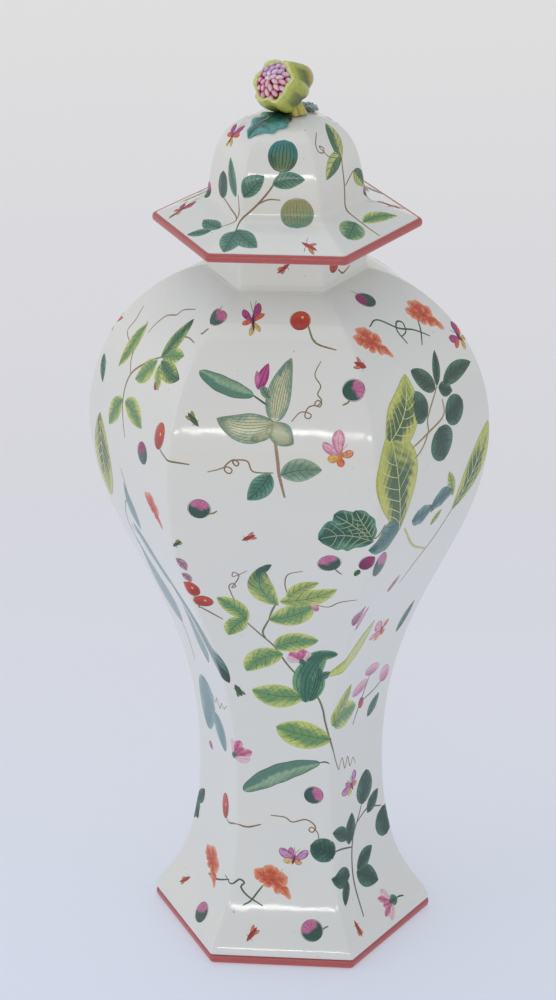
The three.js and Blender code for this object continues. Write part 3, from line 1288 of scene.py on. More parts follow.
@dataclass
class SplitFruit:
    """A split fruit with its seeds showing, on a stub of stem, with two leaves on the dome."""

    lid: Lid
    radius: float = 15.0
    centre: tuple[float, float, float] = (-2.6, -1.2, 531.9)
    split: Pair = (-37.0, 36.0)
    tip: Pair = (114.0, 14.0)
    tip_reach: float = 5.2
    mouth: float = 60.0
    bowl: float = 3.0
    around: int = 96
    bands: int = 40
    seed_count: int = 34
    seed_mound: float = 5.2
    stem_foot: float = 517.1
    stem_tall: float = 7.4
    stem_reach: Pair = (6.0, 2.4)

    def axes(self) -> tuple[Array, Array, Array]:
        """The split's direction and two directions square to it.

        Returns:
            Side, up and out.
        """
        out = heading(*self.split)
        side = np.cross(out, (0, 0, 1))
        side /= np.linalg.norm(side)
        return side, np.cross(side, out), out

    def _make(self, piece: Piece, rings: list[Array], shades: list[Array]) -> None:
        """Makes a painted piece from its rings, closed at both ends.

        Args:
            piece: the piece to make.
            rings: its rings of points.
            shades: colours of each ring.
        """
        points, faces = skin(rings, loop=False)
        piece.make(points, faces, np.concatenate([*shades, shades[0][:1], shades[-1][:1]]))

    def rind(self, enamel: Material) -> None:
        """Makes the rind, with its lobes, its turned-out lip and the bowl that the seeds fill.

        Args:
            enamel: its material.
        """
        side, up, out = self.axes()
        tip = heading(*self.tip)
        count = self.around
        phi = np.arange(count) / count * 2 * math.pi
        around = np.cos(phi)[:, None] * side + np.sin(phi)[:, None] * up
        wave = 3.0 * np.sin(phi * 5 + 0.6) + 1.6 * np.sin(phi * 9 + 2.0)
        mouth = np.radians(self.mouth + wave)
        rings, shades = [], []
        pale, rim, green, dark, ochre = (
            paint(c)
            for c in (
                (218, 222, 140), (204, 208, 112), (178, 184, 84), (50, 78, 48), (190, 170, 84)
            )
        )
        for share in np.arange(self.bands) / (self.bands - 1):
            theta = math.pi - (math.pi - mouth) * share
            way = np.cos(theta)[:, None] * out + np.sin(theta)[:, None] * around
            point_share = np.clip(way @ tip, 0, 1)
            lobes = 0.85 * np.cos(phi * 6 + 0.8) * np.sin(theta)
            lobes = lobes + 0.35 * np.sin(phi * 11) * np.sin(theta)
            reach = self.radius - 0.6 + lobes + self.tip_reach * point_share**9
            rings.append(np.array(self.centre) + way * reach[:, None])
            streak = -np.cos(phi * 6 + 0.8 + 0.5 * share) + 0.35 * np.sin(phi * 17 + share * 9)
            streak = smoothstep(streak, -0.55, 0.35)
            fade = math.sin(math.pi * min(1.0, 0.12 + share)) ** 0.5
            colour = green + (dark - green) * (streak * fade)[:, None]
            colour = colour + (ochre - colour) * smoothstep(point_share, 0.86, 0.98)[:, None]
            colour = colour + (rim - colour) * smoothstep(np.full(count, share), 0.86, 1.0)[:, None]
            shades.append(colour)
        edge = rings[-1]
        lips = ((0.5, 0.5), (0.3, 1.1), (-0.8, 1.3), (-1.9, 0.9), (-2.6, 0.0))
        for (push, drop), colour in zip(lips, (rim, pale, pale, pale, pale)):
            rings.append(edge + around * push + out * drop)
            shades.append(np.broadcast_to(colour, (count, 3)))
        hollow = rings[-1]
        middle = hollow.mean(axis=0) - out * self.bowl
        for share in (0.25, 0.5, 0.75, 0.92):
            sunk = hollow + (middle - hollow) * share
            rings.append(sunk - out * self.bowl * 0.5 * math.sin(math.pi * share))
            shades.append(np.broadcast_to(paint((150, 40, 90)), (count, 3)))
        piece = Piece("finial_fruit_rind", "lid", Finish.RIND, enamel, ("finial_rind",))
        self._make(piece, rings, shades)

    def seeds(self, enamel: Material) -> None:
        """Makes the seeds: plump arils packed over a mound.

        Args:
            enamel: its material.
        """
        side, up, out = self.axes()
        reach = math.radians(self.mouth)
        base = np.array(self.centre) + out * (self.radius * math.cos(reach) - 1.6)
        spread = self.radius * math.sin(reach) - 2.0
        points, faces, shades = [], [], []
        pearl, lilac_shade, rose, crimson = (
            paint(c) for c in ((242, 224, 234), (192, 134, 200), (206, 104, 156), (190, 34, 74))
        )
        count = 0
        rows, columns = 7, 10
        for i in range(self.seed_count):
            share = math.sqrt((i + 0.5) / self.seed_count)
            angle = i * GOLDEN_TURN
            flat = side * math.cos(angle) + up * math.sin(angle)
            mound = self.seed_mound * math.sqrt(max(1 - share**2, 0.0))
            middle = base + flat * spread * share * 0.98 + out * (mound - 0.4)
            face = out * (1.15 - share * 0.75) + flat * share
            face /= np.linalg.norm(face)
            level = float(flat @ up) * share
            # Painted shade between the arils: each aril's foot takes a darker hollow tint, lilac in
            # the upper part and crimson in the lower part.
            hollow = crimson if level < 0.25 + 0.2 * math.sin(i * 2.1) else lilac_shade
            crown = pearl + (rose - pearl) * 0.16 * (i % 3)
            start = count
            for row in range(rows):
                polar = math.pi * (row + 0.35) / (rows - 0.3)
                ring = np.arange(columns) / columns * 2 * math.pi
                outward = flat * 0.9 + side * 0.25 * math.sin(i * 5.0)
                across = np.cross(face, outward)
                across /= np.linalg.norm(across)
                third = np.cross(face, across)
                plump = np.cos(ring)[:, None] * across * 1.7
                plump = plump + np.sin(ring)[:, None] * third * (2.8 + 0.3 * math.sin(i * 3.1))
                dots = middle + face * math.cos(polar) * 1.7 + plump * math.sin(polar)
                points.append(dots)
                # From the hollow tint at the foot to pearl at the crown: painted shade that
                # lightens towards each aril's top.
                tone = smoothstep(np.full(columns, math.cos(polar)), 0.15, 0.95)[:, None]
                shades.append(hollow * (1 - tone) + np.clip(crown, 0, 1) * tone)
                count += columns
            for row in range(rows - 1):
                for j in range(columns):
                    k = (j + 1) % columns
                    a, b = start + row * columns, start + (row + 1) * columns
                    faces.append((a + j, a + k, b + k, b + j))
            faces.append(tuple(range(start, start + columns)))
            faces.append(tuple(range(count - 1, count - columns - 1, -1)))
        piece = Piece("finial_fruit_seeds", "lid", Finish.SEEDS, enamel, ("finial_seeds",), 80)
        piece.make(np.concatenate(points), faces, np.concatenate(shades))

    def stem(self, enamel: Material) -> None:
        """Makes the squared stub of stem that holds the fruit up.

        Args:
            enamel: its material.
        """
        rings, shades = [], []
        ring = np.arange(32) / 32 * 2 * math.pi
        straw, shadow = (paint(c) for c in ((206, 192, 96), (140, 130, 60)))
        for step in range(14):
            share = step / 13
            square = 1 + 0.09 * np.cos(4 * ring + 0.5)
            reach = (self.stem_reach[0] - self.stem_reach[1] * share**0.6) * square
            reach = reach + 0.35 * np.sin(ring * 7 + share * 3) * (1 - share)
            x = self.centre[0] + 8.6 - 1.6 * share + reach * np.cos(ring)
            y = self.centre[1] + reach * np.sin(ring)
            z = np.full(len(ring), self.stem_foot + self.stem_tall * share)
            z = np.maximum(z, self.lid.height_at(x, y) + 0.3 + self.stem_tall * share)
            rings.append(np.stack([x, y, z], axis=1))
            streak = smoothstep(np.sin(ring * 5 + 1), 0.5, 1.0)[:, None]
            shades.append(straw + (shadow - straw) * streak * (1 - 0.5 * share))
        piece = Piece("finial_stem_stub", "lid", Finish.RIND, enamel, ("finial_stem",))
        self._make(piece, rings, shades)

    def leaf(
        self, name: str, node: str, enamel: Material, spine: list[Pair], width: float, lift: Pair,
        colours: tuple[Colour, Colour, Colour]
    ) -> None:
        """Makes one leaf in relief on the dome.

        Args:
            name: the piece's name.
            node: the solid that it stands for.
            enamel: its material.
            spine: points of its midrib, from above.
            width: its width.
            lift: height above the dome at its root and tip.
            colours: edge and heart colours, and the dark colour of the veins and of the painted
                shadow near the root.
        """
        line = curve_through(np.array(spine), 0.8)
        rows = len(line)
        t = np.linspace(0, 1, rows)
        normal = leftward(line)
        v = np.linspace(-1, 1, 25)
        half = width / 2 * np.maximum(np.sin(math.pi * t**0.8), 0.02) ** 0.6
        wave = 1 + 0.09 * np.sin(t * 22)[:, None] * np.abs(v)[None, :]
        reach = half[:, None] * v[None, :] * wave
        x = line[:, 0, None] + normal[:, 0, None] * reach
        y = line[:, 1, None] + normal[:, 1, None] * reach
        floor = self.lid.height_at(x, y)
        raised = lift[0] + (lift[1] - lift[0]) * t[:, None]
        curl = 1.1 * np.abs(v)[None, :] ** 2 * (0.6 + 0.4 * np.sin(t * 22 + 1)[:, None])
        fold = np.cos((t[:, None] * 9 + np.abs(v)[None, :] * 2.2) * math.pi)
        rib = 0.45 * np.exp(-((v / 0.1) ** 2))[None, :] + 0.22 * fold * (1 - np.abs(v))[None, :]
        swell = 1.2 * np.minimum(1, half / 3)[:, None] * (1 - np.abs(v) ** 4)[None, :]
        top = floor + raised + curl + rib + swell
        low = floor + raised * 0.35 + curl * 0.8
        grid = [np.stack([x, y, z], axis=-1) for z in (top, low)]
        rings = [np.concatenate([grid[0][i], grid[1][i][::-1]]) for i in range(rows)]
        edge, heart, dark = (paint(c) for c in colours)
        blend = 1 - np.abs(v)[None, :] + 0.15 * np.sin(t[:, None] * 17 + v[None, :] * 4)
        colour = edge + (heart - edge) * smoothstep(blend, 0.15, 0.7)[..., None]
        vein = smoothstep(fold, 0.86, 1.0) * (np.abs(v) < 0.85)
        vein = np.maximum(vein * 0.75, np.exp(-((v / 0.07) ** 2))[None, :])
        # Darker towards the root: painted shadow of the fruit that overhangs the leaf, joined with
        # the dark veins.
        shadow = np.maximum(vein, smoothstep(0.5 - t, 0.0, 0.4)[:, None])[..., None]
        colour = colour + (dark - colour) * shadow
        shades = [np.concatenate([row, row[::-1]]) for row in colour]
        self._make(Piece(name, "lid", Finish.LEAVES, enamel, (node,)), rings, shades)

    def make(self, enamel: Material) -> None:
        """Makes the whole finial.

        Args:
            enamel: the material of all of it.
        """
        self.rind(enamel)
        self.seeds(enamel)
        self.stem(enamel)
        self.leaf(
            "finial_near_leaf", "finial_leaf_front", enamel,
            [(1.5, -4.6), (-6.5, -12.0), (-13.0, -17.6), (-18.6, -23.2)], 21.0, (0.9, 0.8),
            ((92, 166, 160), (44, 112, 104), (16, 44, 38))
        )
        self.leaf(
            "finial_far_leaf", "finial_leaf_back", enamel,
            [(7.0, 4.5), (9.8, 8.5), (12.2, 12.5), (14.4, 17.0)], 12.5, (1.2, 2.6),
            ((140, 160, 146), (104, 132, 116), (56, 86, 76))
        )


# ---- Painting ----
TWIG = (140, 112, 82)
OLIVE = (122, 122, 66)
MOSS = (64, 92, 58)
MAGENTA = (158, 46, 108)
ROSE = (204, 116, 160)
BLUSH = (232, 178, 190)
CORAL = (206, 74, 44)
RUST = (168, 54, 44)
RUST_WING = (206, 130, 100)
MOSS_WING = (150, 150, 96)

BEAN = LeafLook((204, 212, 120), (112, 158, 98), (60, 100, 70), veins=5, line=0.42)
BEAN_TOP = LeafLook(
    (200, 208, 116), (130, 166, 104), (60, 100, 70), veins=4, line=0.42, tip=(52, 96, 78),
    tip_from=0.5
)
BEAN_DARK = LeafLook((168, 188, 96), (54, 116, 80), (28, 68, 54), veins=5, tip=(34, 92, 72))
BEAN_PALE = LeafLook((208, 212, 122), (156, 178, 100), (88, 110, 66), veins=4)
TEAL = LeafLook((110, 158, 134), (66, 122, 104), (34, 68, 62), veins=5, line=0.42)
ARCH = LeafLook((136, 168, 170), (104, 144, 148), (76, 112, 118), veins=0, line=0.45)
HOOD_ARCH = LeafLook(
    (130, 164, 160), (62, 104, 98), (40, 74, 72), veins=0, line=0.5, tip=(44, 76, 66)
)
HOOD = LeafLook((118, 166, 122), (54, 118, 92), (24, 60, 52), veins=0, stripes=2)
PALE = LeafLook(
    (126, 164, 146), (204, 206, 172), (126, 128, 84), veins=0, stripes=4, tip=(110, 150, 132),
    tip_from=0.72, outline=(112, 130, 100), line=0.42
)
LAUREL = LeafLook((72, 120, 98), (36, 80, 66), (24, 56, 48), veins=4)
TOBACCO = LeafLook(
    (204, 206, 108), (70, 106, 66), (222, 222, 156), veins=6, line=0.7, tip=(196, 204, 100),
    outline=(168, 176, 90)
)
LOBED = LeafLook((92, 146, 122), (40, 92, 80), (176, 186, 136), veins=5, line=0.6, ragged=0.07)
GREY = LeafLook((156, 180, 158), (112, 146, 124), (60, 92, 76), veins=4, line=0.42)
PINK = LeafLook((232, 172, 188), (206, 110, 150), MAGENTA, veins=2, line=0.4)
BLUSH_PETAL = LeafLook(
    (238, 214, 220), (236, 200, 210), (206, 150, 170), veins=1, line=0.35, outline=(206, 130, 158)
)
DUSK = LeafLook((196, 162, 172), (176, 132, 150), (130, 84, 108), veins=2, line=0.4)
POD = LeafLook(
    (112, 146, 120), (150, 180, 150), (70, 104, 88), veins=0, half=(92, 136, 118),
    outline=(64, 100, 84), ragged=0.03
)

MAGENTA_WINGS = [
    (92, 7.5, 3.8, -0.8, CORAL, (222, 112, 76)),
    (-70, 8.5, 4.0, 0.8, CORAL, (222, 112, 76)),
    (44, 9.5, 4.8, 0.8, MAGENTA, (182, 76, 140)),
    (-24, 9.0, 4.6, -0.8, MAGENTA, (182, 76, 140)),
    (160, 7.0, 3.2, 0.4, (196, 158, 84), (214, 196, 120)),
    (-140, 7.0, 2.8, 0.4, (196, 158, 84), (214, 196, 120)),
]
LILAC_WINGS = [
    (66, 11.0, 5.4, 0.8, (164, 74, 134), (212, 168, 206)),
    (-40, 10.5, 5.0, -0.8, (164, 74, 134), (212, 168, 206)),
    (28, 8.0, 3.6, 0.6, (176, 70, 130), (204, 140, 188)),
    (112, 6.5, 4.0, 0.6, (204, 150, 80), (236, 216, 150)),
    (-100, 5.5, 3.4, -0.6, (196, 96, 76), (236, 190, 140)),
]
ROSE_WINGS = [
    (74, 12.0, 5.0, 1.0, ROSE, BLUSH),
    (22, 14.0, 7.0, 1.0, ROSE, BLUSH),
    (-52, 7.5, 4.4, -0.5, (206, 92, 70), (226, 160, 120)),
    (128, 7.5, 5.0, 0.5, (214, 134, 60), (232, 188, 96)),
    (-150, 6.5, 4.4, -0.5, CORAL, (226, 140, 84)),
]


def smaller(wings: list[Wing], length: float, width: float) -> list[Wing]:
    """The same wings, with their lengths and widths scaled."""
    return [(wing[0], wing[1] * length, wing[2] * width, *wing[3:]) for wing in wings]


Design = Callable[[Enamels], None]


def bud(
    e: Enamels, centre: Place, size: Pair, turn: float, top: Colour = ROSE,
    cup: Colour = (46, 88, 76), split: float = 0.12
) -> None:
    """Paints a bud: pink above, in a dark green cup, with a pale line between.

    Args:
        e: the enamels of the face.
        centre: its middle.
        size: its length and width.
        turn: degrees that it is turned from up towards the left.
        top: colour of the petals.
        cup: colour of the cup.
        split: where the two meet, from -1 to 1.
    """
    e.bead(centre, size, turn, cup, top, split, 0.1, outline=(70, 50, 60), arch=-0.4)
    root = away(centre, math.radians(turn), -0.8)
    for lean in (-30, 0, 30):
        tip = away(centre, math.radians(turn + lean), size[0] * 0.36)
        flat = np.linspace(e.at(root), e.at(tip), 5)
        e.line(flat, 0.45, MAGENTA, base=0.15, crown=0.08)


def fan(e: Enamels, root: Place, tip: Place, width: float, look: LeafLook) -> None:
    """Paints a flower from the side: petals that fan from a green calyx.

    Args:
        e: the enamels of the face.
        root: where the petals start.
        tip: where the longest end.
        width: width of the flower.
        look: the inner petals.
    """
    run = np.array(tip[:2]) - np.array(root[:2])
    rest = tuple(root[2:])
    start = np.array(root[:2])
    outer = ((52, 0.95, BLUSH_PETAL), (-50, 0.9, BLUSH_PETAL))
    inner = ((26, 1.05, look), (-22, 1.05, look), (2, 0.8, look))
    for turn, reach, petal in outer + inner:
        cos, sin = math.cos(math.radians(turn)), math.sin(math.radians(turn))
        end = start + np.array([run[0] * cos - run[1] * sin, run[0] * sin + run[1] * cos]) * reach
        e.leaf(root, (*end, *rest), width * 0.52, petal, belly=0.66, blunt=0.55)
    cup = [(*(start + run * share), *rest) for share in (-0.25, 0.35)]
    e.leaf(*cup, width * 0.36, TEAL, crown=0.24)


def poppy(e: Enamels, centre: Place, size: float, blush: Colour = (236, 166, 130)) -> None:
    """Paints a ragged orange flower, blown open to one side.

    Args:
        e: the enamels of the face.
        centre: its middle.
        size: its scale.
        blush: colour of the petals' tips.
    """
    petals = (
        (-11, 6.5, 8), (-5, 9, 8), (3, 8, 10), (9.5, 2, 9), (-9, 1, 5), (8, -8, 8), (11.5, -13, 5),
        (-2, -6, 7)
    )
    for i, (across, up, width) in enumerate(petals):
        edge = blush if i % 2 else (228, 128, 88)
        look = LeafLook(
            edge, (214, 92, 54), (186, 66, 42),
            veins=2, line=0.35, ragged=0.16, tip=blush, tip_from=0.55,
        )
        tip = (centre[0] + across * size, centre[1] + up * size * 0.9)
        e.leaf(centre, tip, width * size, look, bow=0.8 * (-1) ** i, belly=0.6, blunt=0.6)
    e.bead(centre, (4.5 * size, 4 * size), 20, (176, 60, 40), (206, 96, 50), crown=0.26)


def cherry(e: Enamels, centre: Place, size: Pair, turn: float, stalk: list[Place]) -> None:
    """Paints a cherry with a light on it, and its stalk.

    Args:
        e: the enamels of the face.
        centre: its middle.
        size: its length and width.
        turn: degrees that it is turned from up towards the left.
        stalk: places along its stalk.
    """
    e.stem(stalk, 0.9, OLIVE, end=TWIG)
    e.bead(centre, size, turn, (176, 44, 32), CORAL, 0.0, 0.7, crown=0.3, outline=(150, 44, 36))
    spot = (centre[0] + size[1] * 0.1, centre[1] + size[0] * 0.08, *centre[2:])
    e.bead(
        spot, (size[0] * 0.24, size[1] * 0.22), turn, (236, 200, 176), (240, 214, 196), crown=0.36
    )


@dataclass
class Painting:
    """Enamels on one body: three faces' designs, each used twice."""

    SIDES = ("front", "right", "back_right", "back", "back_left", "left")

    surface: HexSurface
    enamel: Material

    def paint_faces(self, body: str, slot: Finish, designs: tuple[Design, ...]) -> None:
        """Paints all six faces, with the designs in turn.

        Args:
            body: the body they ride on.
            slot: their finish.
            designs: the designs, from the front face on.
        """
        for face, side in enumerate(self.SIDES):
            enamels = Enamels(self.surface, face)
            designs[face % len(designs)](enamels)
            enamels.fire(Piece(f"{body}_enamel_{side}", body, slot, self.enamel))


class JarPainting(Painting):
    """Enamels on the jar."""

    def make(self) -> None:
        """Paints all six faces."""
        designs = (self.garden_face, self.tobacco_face, self.vine_face)
        self.paint_faces("jar", Finish.JAR_GLAZE, designs)

    # -- first design
    def garden_face(self, e: Enamels) -> None:
        """Paints the face with the pea and bean sprays.

        Args:
            e: the enamels of the face.
        """
        self.pea_spray(e)
        self.scattered_high(e)
        self.lobed_leaf(e)
        self.bean_vine(e)
        self.scattered_low(e)
        self.laurel_spray(e)

    def pea_spray(self, e: Enamels) -> None:
        """Paints the spray below the shoulder.

        Args:
            e: the enamels of the face.
        """
        stem = (160, 136, 112)
        e.stem([(1.0, 368), (1.5, 360), (3, 348.5), (3.8, 341), (6.8, 327.5)], 1.5, stem)
        e.stem([(-11, 383), (-6, 380), (-2.5, 377.5), (0, 371)], 0.9, MOSS)
        e.stem(
            [
                (10.3, 370.5), (14.5, 375), (18, 375.5), (21, 374.2), (20, 372.2), (17.6, 373),
                (18, 375.6), (19.5, 378), (23, 379), (25.5, 378.2), (26.6, 380.2), (24.6, 381.6),
                (22.8, 380), (24, 378.6), (26.5, 381.5), (24.2, 384.5), (25.7, 388.5),
                (22.3, 393.7), (25.3, 400)
            ],
            0.6, TWIG
        )
        e.stem(
            [
                (0.5, 342), (-10.5, 342.5), (-13.5, 348), (-18, 349), (-22, 348), (-20, 345.4),
                (-18.5, 347), (-21, 349), (-24, 347.5), (-26.5, 344.5), (-26, 342), (-23.5, 341),
                (-22.3, 343), (-25, 344.8), (-30.5, 343), (-36, 341.5)
            ],
            0.7, TWIG
        )
        e.leaf((-11, 383), (-41.5, 394), 9.5, POD, bow=1.5, belly=0.5, blunt=0.5)
        e.leaf((1, 369), (-31, 371), 17.0, PALE, bow=4.0, belly=0.42)
        e.leaf((1, 370), (9, 401), 13.5, PALE, bow=1.5, belly=0.36)
        e.leaf((0, 369.5), (11.5, 358.5), 13.0, PALE, bow=-1.0, belly=0.45)
        e.leaf((1, 370), (-13, 360), 9.0, PALE, bow=1.0)
        e.leaf((2.2, 385), (7.0, 400), 4.2, ARCH, bow=1.2, crown=0.14)
        e.leaf(
            (-8.8, 386), (-3.5, 398.5), 6.5,
            LeafLook(MAGENTA, (196, 84, 148), (120, 30, 84), veins=1), belly=0.4
        )
        e.leaf((-8.0, 386), (-9.8, 395), 4.0, LeafLook(ROSE, (204, 120, 170), MAGENTA, veins=0))
        e.leaf((-2, 381.5), (-7.8, 388.5), 5.0, GREY)
        e.leaf((-1, 341.5), (-14, 325.5), 12.5, TEAL, bow=1.0)
        e.leaf((4.5, 341), (27.5, 344.5), 13.5, GREY, bow=1.5)

    def scattered_high(self, e: Enamels) -> None:
        """Paints the small things about the pea spray.

        Args:
            e: the enamels of the face.
        """
        bud(e, (-34, 417), (12, 10), -55)
        e.stem([(-38, 412.5), (-42, 410), (-44, 409.5)], 0.8, OLIVE)
        bud(e, (44, 387), (12.5, 12.5), -70)
        e.stem([(42, 382), (40.5, 380.5), (38, 379.5)], 0.8, OLIVE)
        bud(e, (-41, 319), (12, 13), -10)
        e.stem([(-36, 316), (-33, 316.5), (-31, 318)], 0.8, OLIVE)
        e.butterfly((-13.5, 415.5), 8, smaller(MAGENTA_WINGS, 0.8, 0.85), (70, 40, 70))
        e.butterfly((37.5, 353), -20, ROSE_WINGS, (214, 140, 60))
        cherry(e, (12.5, 416.7), (12.5, 11.5), 0, [(17, 415), (20, 409.5), (24, 407), (33.5, 405)])
        e.insect((-2, 436), (5, 442), RUST, RUST_WING, 1.9, 4.0)
        e.insect((43.5, 400), (53, 396), RUST, RUST_WING, 2.6, 5.5)
        e.insect((-47, 373.5), (-41, 366.5), MOSS, MOSS_WING, 2.6, 5.0)
        e.insect((-10, 303), (-17.7, 299), RUST, RUST_WING, 2.4, 5.0)
        e.insect((-52, 297.5), (-57, 293), MOSS, MOSS_WING, 2.0, 3.5)
        e.leaf((-56, 285), (-50, 276), 5.5, DUSK, bow=1.0)
        e.leaf((-53, 274), (-48, 267), 4.5, DUSK, bow=1.0)

    def lobed_leaf(self, e: Enamels) -> None:
        """Paints the dark lobed leaf and the buds under it.

        Args:
            e: the enamels of the face.
        """
        e.stem([(56, 303), (61, 305), (66, 309)], 1.2, OLIVE)
        e.leaf((56, 301), (25, 301.5), 21, LOBED, bow=-3.5, belly=0.55, blunt=0.55)
        e.leaf((54, 303), (34, 318), 15, LOBED, bow=-1.0, belly=0.6, crown=0.19, blunt=0.5)
        e.leaf((56, 303), (46, 321), 14, LOBED, bow=0.5, belly=0.55, crown=0.21, blunt=0.5)
        bud(e, (31, 285), (11, 14), 25)
        e.stem([(34, 281), (36, 278.5), (38, 277)], 0.8, OLIVE)
        e.bead((52.5, 286), (12, 8), -42, (120, 36, 90), MAGENTA, 0.0, 0.5, outline=(100, 30, 80))
        e.leaf((48, 281), (45, 276), 3.5, BEAN_DARK)
        bud(e, (-46, 281, 1), (18, 12), -30)
        cherry(e, (-48.5, 262), (13, 9), 35, [(-47, 256), (-45, 250), (-44.5, 247)])
        cherry(e, (-42, 252.5), (9, 12), -15, [(-44.5, 248), (-38, 243), (-31.5, 238)])
        e.leaf((43, 236), (53, 250), 6, DUSK, bow=1.0)

    def bean_vine(self, e: Enamels) -> None:
        """Paints the long bean vine down the waist.

        Args:
            e: the enamels of the face.
        """
        stem = (120, 118, 88)
        e.stem(
            [
                (-19, 237.5), (-10.5, 226.5), (-3, 217), (2.5, 205.5), (6.5, 198.5), (14, 188),
                (21, 177.5), (24, 168), (25.3, 158.5), (29, 141.5), (-23, 126, 1), (-20, 120, 1)
            ],
            1.0, stem
        )
        e.stem(
            [
                (-20, 120, 1), (-17, 127, 1), (-13.5, 118, 1), (-11, 125, 1), (-8, 117, 1),
                (-5, 121.5, 1), (-2, 116, 1)
            ],
            0.6, TWIG
        )
        e.stem([(-5, 239), (-9, 229), (-7.5, 223)], 1.0, stem)
        e.stem([(0, 253), (-3, 246), (-5, 239)], 1.0, stem)
        e.stem(
            [
                (-23, 250.5), (-25.5, 259.5), (-26.5, 265), (-24, 267.5), (-22.6, 265), (-25, 264),
                (-21.5, 270), (-20.5, 274), (-23.5, 276), (-24, 272.6), (-20, 274.5), (-15.5, 277.5)
            ],
            0.6, TWIG
        )
        e.stem([(6.3, 261.5), (5.5, 268.5), (7.5, 275.5), (16, 278.5)], 0.6, TWIG)
        e.leaf((1, 251), (-7, 281), 15, BEAN_TOP, bow=5.5, belly=0.48)
        e.leaf(
            (-7, 276), (-1.5, 282.5), 4.5,
            LeafLook((70, 112, 88), (50, 92, 76), (34, 70, 58), veins=0), bow=1.0
        )
        e.leaf((6, 257), (25, 270), 9, BEAN_PALE, bow=2.0)
        e.leaf((2, 254), (35, 265.5), 14, BEAN_PALE, bow=-2.5, belly=0.42)
        e.leaf((-5.3, 239), (21, 251.5), 17, BEAN, bow=-2.5, belly=0.5, blunt=0.65)
        e.leaf((-17.5, 237.5), (-34, 256), 12.5, BEAN, bow=-2.0, belly=0.5, blunt=0.65)
        e.leaf((-18, 240), (-29, 225), 12.5, BEAN, bow=-1.5, blunt=0.65)
        e.leaf((-3, 216), (23, 223), 16, BEAN, bow=2.0, blunt=0.65)
        e.leaf((2, 211), (-20, 196), 16, BEAN, bow=-4.0, belly=0.45, blunt=0.6)
        e.leaf((13.5, 178), (-17.5, 181.5), 18, BEAN, bow=2.5, belly=0.5, blunt=0.65)
        e.leaf((29, 146), (-4, 154), 20, BEAN, bow=1.5, belly=0.52, blunt=0.6)
        e.leaf((14, 173), (27, 213), 16, HOOD, bow=5.0, belly=0.45, blunt=0.6)
        e.leaf((15, 206), (34, 212.5), 9, HOOD, bow=1.5, blunt=0.5)
        e.leaf((16, 174), (22, 204), 9, HOOD, bow=-2.5, belly=0.4)
        e.leaf((-31, 156, 1), (-8, 160, 1), 19, BEAN, bow=1.5, blunt=0.6)
        e.leaf((-31, 156, 1), (-19, 181, 1), 12, BEAN_PALE)
        e.leaf((21, 191), (29, 198), 6, TEAL)
        e.leaf(
            (27, 194), (-19, 228, 1), 10,
            LeafLook(
                (190, 200, 96), (206, 212, 124), (110, 128, 70), veins=0, outline=(128, 146, 74)
            ),
            bow=-2.0, belly=0.5
        )
        fan(e, (13, 205), (10, 214.5), 13, PINK)
        e.bead((21.5, 250.5), (8, 5.5), 20, ROSE, BLUSH, 0.0, 0.6)
        e.stem([(21.5, 252.5), (29.5, 251), (36, 255), (46, 257.5)], 0.6, TWIG)
        e.insect((-23.5, 176), (-27.5, 185), MOSS, (96, 130, 100), 3.0, 5.5)

    def scattered_low(self, e: Enamels) -> None:
        """Paints the small things on the flared foot.

        Args:
            e: the enamels of the face.
        """
        fan(e, (-31, 131), (-21.5, 139), 12, PINK)
        e.leaf((-33.5, 129.5), (-28, 132.5), 4.5, TEAL)
        e.leaf((-24.5, 107.5), (22, 129), 13, POD, bow=2.5, belly=0.45, crown=0.2, blunt=0.55)
        e.stem([(22, 129), (25, 129.6), (27.5, 128.5)], 0.8, MOSS)
        bud(e, (18, 106), (11.5, 12), -70)
        e.stem([(-28, 84), (-22, 82.5), (-14, 84.5)], 0.9, TWIG)
        e.stem(
            [
                (-8, 91), (0.5, 90), (5, 87), (13, 89), (18, 86), (19, 83), (17, 80.5), (15, 82),
                (17, 84), (20.5, 80), (21, 75.5)
            ],
            0.7, TWIG
        )
        e.butterfly((6, 62.5), -15, LILAC_WINGS, (120, 50, 70))
        poppy(e, (-7, 49.5), 1.0)
        e.stem([(-24.5, 33.5), (-20, 36), (-16, 41), (-12.5, 45.5)], 0.9, MOSS)
        e.stem(
            [(-40, 47), (-32, 45.5), (-27, 48.5), (-24, 46.5), (-26, 44), (-22, 39), (-12.5, 33.5)],
            0.9, MOSS
        )
        e.insect((-15.5, 22), (-21.5, 14.5), RUST, RUST_WING, 2.6, 5.5)
        bud(e, (18, 21.5), (13.5, 13.5), 40)
        e.stem([(24, 22), (26.5, 23.5), (28, 24)], 0.8, OLIVE)

